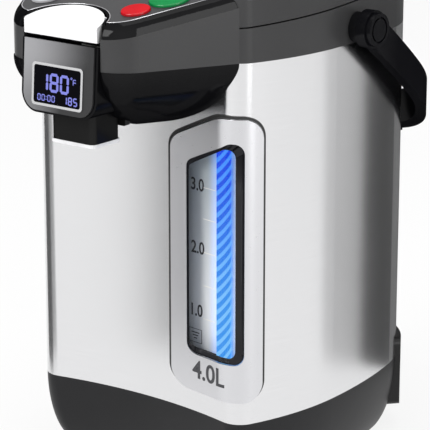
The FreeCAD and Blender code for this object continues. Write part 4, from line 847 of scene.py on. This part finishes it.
class STUDIO_OT_gauge(bpy.types.Operator):
    """Finishes the water gauge: silver frame, window, dial and lit column"""
    bl_idname = "thermo_pot.gauge"
    bl_label = "Water gauge"

    def execute(self, context):
        colours = context.scene.pot_colours
        frame_finish = satin_metal("gauge silver", tuple(colours.silver), 0.30, 500.0)
        coat(frame_finish, "gauge_frame")
        coat(gloss_plastic("gauge well", (0.012, 0.012, 0.014), 0.25), "gauge_rim")
        coat(self.dial_with_painted_glow(colours), "gauge_scale")
        coat(self.column_finish(colours), "gauge_tube")
        coat(self.window_finish(), "gauge_window")
        self.lay_dark_border()
        return {"FINISHED"}

    def lay_dark_border(self):
        """A dark border round the window, widest along its right side."""
        matrix = gauge_plane()
        border = front_of("gauge_window", GAUGE_OUT, 0.5)
        settle(border, matrix.inverted())
        low = min(vertex.co.y for vertex in border.data.vertices)
        high = max(vertex.co.y for vertex in border.data.vertices)
        left = min(vertex.co.x for vertex in border.data.vertices)
        right = max(vertex.co.x for vertex in border.data.vertices)
        trim, edge, right_edge, end_edge = 0.25 * MM, 1.4 * MM, 5.6 * MM, 4.0 * MM
        wide = (right - left - edge - right_edge) / (right - left - 2 * edge)
        tall = (high - low - 2 * end_edge) / (high - low - 2 * edge)
        take(border)
        bpy.ops.object.mode_set(mode="EDIT")
        bpy.ops.mesh.select_mode(type="FACE")
        bpy.ops.mesh.select_all(action="SELECT")
        bpy.ops.transform.resize(value=(1.0, 1.0, 0.0), center_override=(0.0, 0.0, 0.0))
        bpy.ops.mesh.dissolve_limited(angle_limit=0.001)
        bpy.ops.mesh.inset(thickness=trim)
        bpy.ops.mesh.select_all(action="INVERT")
        bpy.ops.mesh.delete(type="FACE")
        bpy.ops.mesh.select_all(action="SELECT")
        bpy.ops.mesh.inset(thickness=edge)
        bpy.ops.transform.resize(value=(wide, tall, 1.0),
                                 center_override=(left + edge, (low + high) / 2, 0.0))
        bpy.ops.mesh.delete(type="FACE")
        bpy.ops.mesh.select_all(action="SELECT")
        bpy.ops.mesh.subdivide(number_cuts=4)
        bpy.ops.object.mode_set(mode="OBJECT")
        print_on(border, matrix, "gauge_window")
        # The dark rim round the window, laid flat on it as a mark.
        deliver(border, "window_border", gloss_plastic("dark window border", (0.012, 0.012, 0.014), 0.3), "pot")

    def tube_axis(self):
        low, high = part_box("gauge_tube")
        return (low + high) / 2, low.z, high.z

    def dial_with_painted_glow(self, colours):
        """Grey printed plate, darker towards the top, with a painted blue glow from the lit column where the
        column is near.
        """
        finish = Finish("gauge dial", tuple(colours.dial), 0.5, emission_strength=0.55)
        middle, _, _ = self.tube_axis()
        turned = finish.place(turn=(0.0, 0.0, -GAUGE_TURN))
        x, _, z = finish.axes(turned)
        along = middle.dot(GAUGE_ALONG)
        # Painted glow: the dial emits blue near the column, standing in for the column's light falling on
        # it.
        near = 1.0 - (x - along).size().ease(0.0045, 0.0105)
        cloud = finish.noise(25.0, finish.place(), 3.0)
        top = tuple(part * tint for part, tint in zip(colours.dial, (0.50, 0.56, 0.56)))
        rise = z.ease(0.12, 0.25)
        base = finish.blend(rise + 0.15 * cloud, tuple(colours.dial), top)
        finish.feed("Base Color", base)
        finish.feed("Emission Color", finish.blend(near, (0.0, 0.0, 0.0), (0.10, 0.30, 0.85)))
        grain = finish.noise(1200.0, finish.place(), 2.0)
        finish.relief(grain, 0.1, 0.00003)
        return finish

    def column_finish(self, colours):
        """Lit water behind a striped film, deep blue above and pale below."""
        finish = Finish("lit column", (0.0, 0.004, 0.02), 0.12, emission_strength=1.0,
                        specular_ior_level=0.1)
        _, low, high = self.tube_axis()
        turned = finish.place(turn=(0.0, 0.0, -GAUGE_TURN))
        x, _, z = finish.axes(turned)
        wave = ((z - 1.15 * x) * (2 * math.pi / 0.0072)).sine()
        stripe = wave.ease(-0.25, 0.45)
        rise = z.ease(low + 0.2 * (high - low), high)
        ground = finish.blend(rise, tuple(colours.light_blue), tuple(colours.deep_blue))
        pale = finish.blend(rise, (0.20, 0.55, 1.0), (0.05, 0.28, 1.0))
        finish.feed("Emission Color", finish.blend(stripe, ground, pale))
        return finish

    def window_finish(self):
        """Clear moulded window; the plate behind shows through."""
        finish = Finish("clear window", (0.30, 0.31, 0.32), 0.04, alpha=0.03, specular_ior_level=0.15)
        smears = finish.noise(50.0, finish.place(), 3.0)
        finish.feed("Roughness", 0.03 + 0.05 * smears)
        return finish


class STUDIO_OT_gauge_marks(bpy.types.Operator):
    """Prints the numerals, ticks, low level box and capacity mark of the gauge"""
    bl_idname = "thermo_pot.gauge_marks"
    bl_label = "Gauge marks"

    numerals = (("numeral_3", "3.0", 202.2 * MM), ("numeral_2", "2.0", 159.8 * MM),
                ("numeral_1", "1.0", 116.8 * MM))
    tick_levels = (205.2 * MM, 184.2 * MM, 161.6 * MM, 139.0 * MM, 116.4 * MM)
    numeral_left, tick_left, capacity_left = -31.7 * MM, -24.0 * MM, -31.0 * MM
    capacity_foot = 79.8 * MM

    def execute(self, context):
        marks = context.scene.pot_marks
        matrix = gauge_plane()
        ink = moulded("dial ink", (0.018, 0.018, 0.020), 0.5, 1500.0, 0.1)
        pale = moulded("tick ink", (0.92, 0.88, 0.78), 0.5, 1500.0, 0.1, 0.05)
        for name, words, low in self.numerals:
            numeral = lettering(words, marks.numeral_height, self.numeral_left, low, 0.62, 0.22 * MM)
            print_on(numeral, matrix, "gauge_scale")
            deliver(numeral, name, ink, "pot")
        ticks = [rule_mark(self.tick_left, level, 8.2 * MM, 0.35 * MM) for level in self.tick_levels]
        ticks = print_on(join(ticks), matrix, "gauge_scale")
        deliver(ticks, "gauge_ticks", pale, "pot")
        box = print_on(join(self.low_level_box()), matrix, "gauge_scale")
        deliver(box, "low_level_box", ink, "pot")
        capacity = lettering("4.0L", marks.capacity_height, self.capacity_left, self.capacity_foot, 0.70,
                             0.3 * MM)
        print_on(capacity, matrix, "gauge_frame")
        deliver(capacity, "capacity_mark", moulded("capacity ink", (0.05, 0.05, 0.055), 0.45, 1500.0, 0.1),
                "pot")
        return {"FINISHED"}

    def low_level_box(self):
        """An outlined box with three level strokes, the sign for a low level."""
        left, low, wide, high, line = -33.4 * MM, 98.4 * MM, 8.6 * MM, 9.6 * MM, 0.35 * MM
        strokes = [
            rule_mark(left, low, wide, line),
            rule_mark(left, low + high - line, wide, line),
            rule_mark(left, low, line, high),
            rule_mark(left + wide - line, low, line, high),
        ]
        for step, share in enumerate((0.6, 0.42, 0.24)):
            width = share * wide
            strokes.append(rule_mark(left + (wide - width) / 2, low + high * (0.68 - 0.2 * step), width,
                                     0.7 * MM))
        return strokes


class STUDIO_OT_handle(bpy.types.Operator):
    """Finishes the bail handle, its bosses and its caps"""
    bl_idname = "thermo_pot.handle"
    bl_label = "Handle"

    def execute(self, context):
        coat(gloss_plastic("handle plastic", (0.004, 0.004, 0.005), 0.20, 0.6), "handle_bail", "handle_caps")
        coat(gloss_plastic("boss plastic", (0.008, 0.008, 0.009), 0.2), "handle_bosses")
        return {"FINISHED"}


class STUDIO_OT_inside(bpy.types.Operator):
    """Finishes the inner pot, the heater, the pump, the pipes and the lid's inside"""
    bl_idname = "thermo_pot.inside"
    bl_label = "Inside"

    def execute(self, context):
        colours = context.scene.pot_colours
        coat(satin_metal("inner steel", colours.steel, 0.26, 200.0), "inner_pot", "pot_floor",
             "pump_motor")
        coat(satin_metal("cast aluminium", (0.60, 0.60, 0.61), 0.45, 300.0), "heat_shield", "heater_plate")
        coat(moulded("white plastic", (0.70, 0.70, 0.68), 0.4, lift=0.05), "lid_liner", "thermostat",
             "pump_housing", "board_posts")
        coat(rubber("silicone", (0.66, 0.66, 0.63), 0.45), "lid_gasket", "delivery_pipe", "spout_pipe",
             "suction_pipe")
        return {"FINISHED"}


class STUDIO_PT_thermo_pot(bpy.types.Panel):
    """Lists the steps that dress the pot"""
    bl_label = "Thermo Pot"
    bl_idname = "STUDIO_PT_thermo_pot"
    bl_space_type = "VIEW_3D"
    bl_region_type = "UI"
    bl_category = "Thermo Pot"

    def draw(self, context):
        for group in GROUPS:
            settings = getattr(context.scene, group)
            box = self.layout.box()
            for key in settings.__annotations__:
                box.prop(settings, key)
        for operator in OPERATORS:
            self.layout.operator(operator.bl_idname)


OPERATORS = (
    STUDIO_OT_stage,
    STUDIO_OT_base,
    STUDIO_OT_body,
    STUDIO_OT_panel,
    STUDIO_OT_edge_line,
    STUDIO_OT_head,
    STUDIO_OT_figures,
    STUDIO_OT_gauge,
    STUDIO_OT_gauge_marks,
    STUDIO_OT_handle,
    STUDIO_OT_inside,
)
GROUPS = {"pot_studio": PotStudio, "pot_colours": PotColours, "pot_marks": PotMarks}


def register():
    for name, group in GROUPS.items():
        bpy.utils.register_class(group)
        setattr(bpy.types.Scene, name, bpy.props.PointerProperty(type=group))
    for operator in OPERATORS:
        bpy.utils.register_class(operator)
    bpy.utils.register_class(STUDIO_PT_thermo_pot)


def unregister():
    bpy.utils.unregister_class(STUDIO_PT_thermo_pot)
    for operator in reversed(OPERATORS):
        bpy.utils.unregister_class(operator)
    for name, group in GROUPS.items():
        delattr(bpy.types.Scene, name)
        bpy.utils.unregister_class(group)


def main():
    register()
    bpy.ops.thermo_pot.stage()
    bpy.ops.thermo_pot.base()
    bpy.ops.thermo_pot.body()
    bpy.ops.thermo_pot.panel()
    bpy.ops.thermo_pot.edge_line()
    bpy.ops.thermo_pot.head()
    bpy.ops.thermo_pot.figures()
    bpy.ops.thermo_pot.gauge()
    bpy.ops.thermo_pot.gauge_marks()
    bpy.ops.thermo_pot.handle()
    bpy.ops.thermo_pot.inside()


if __name__ == "__main__":
    main()
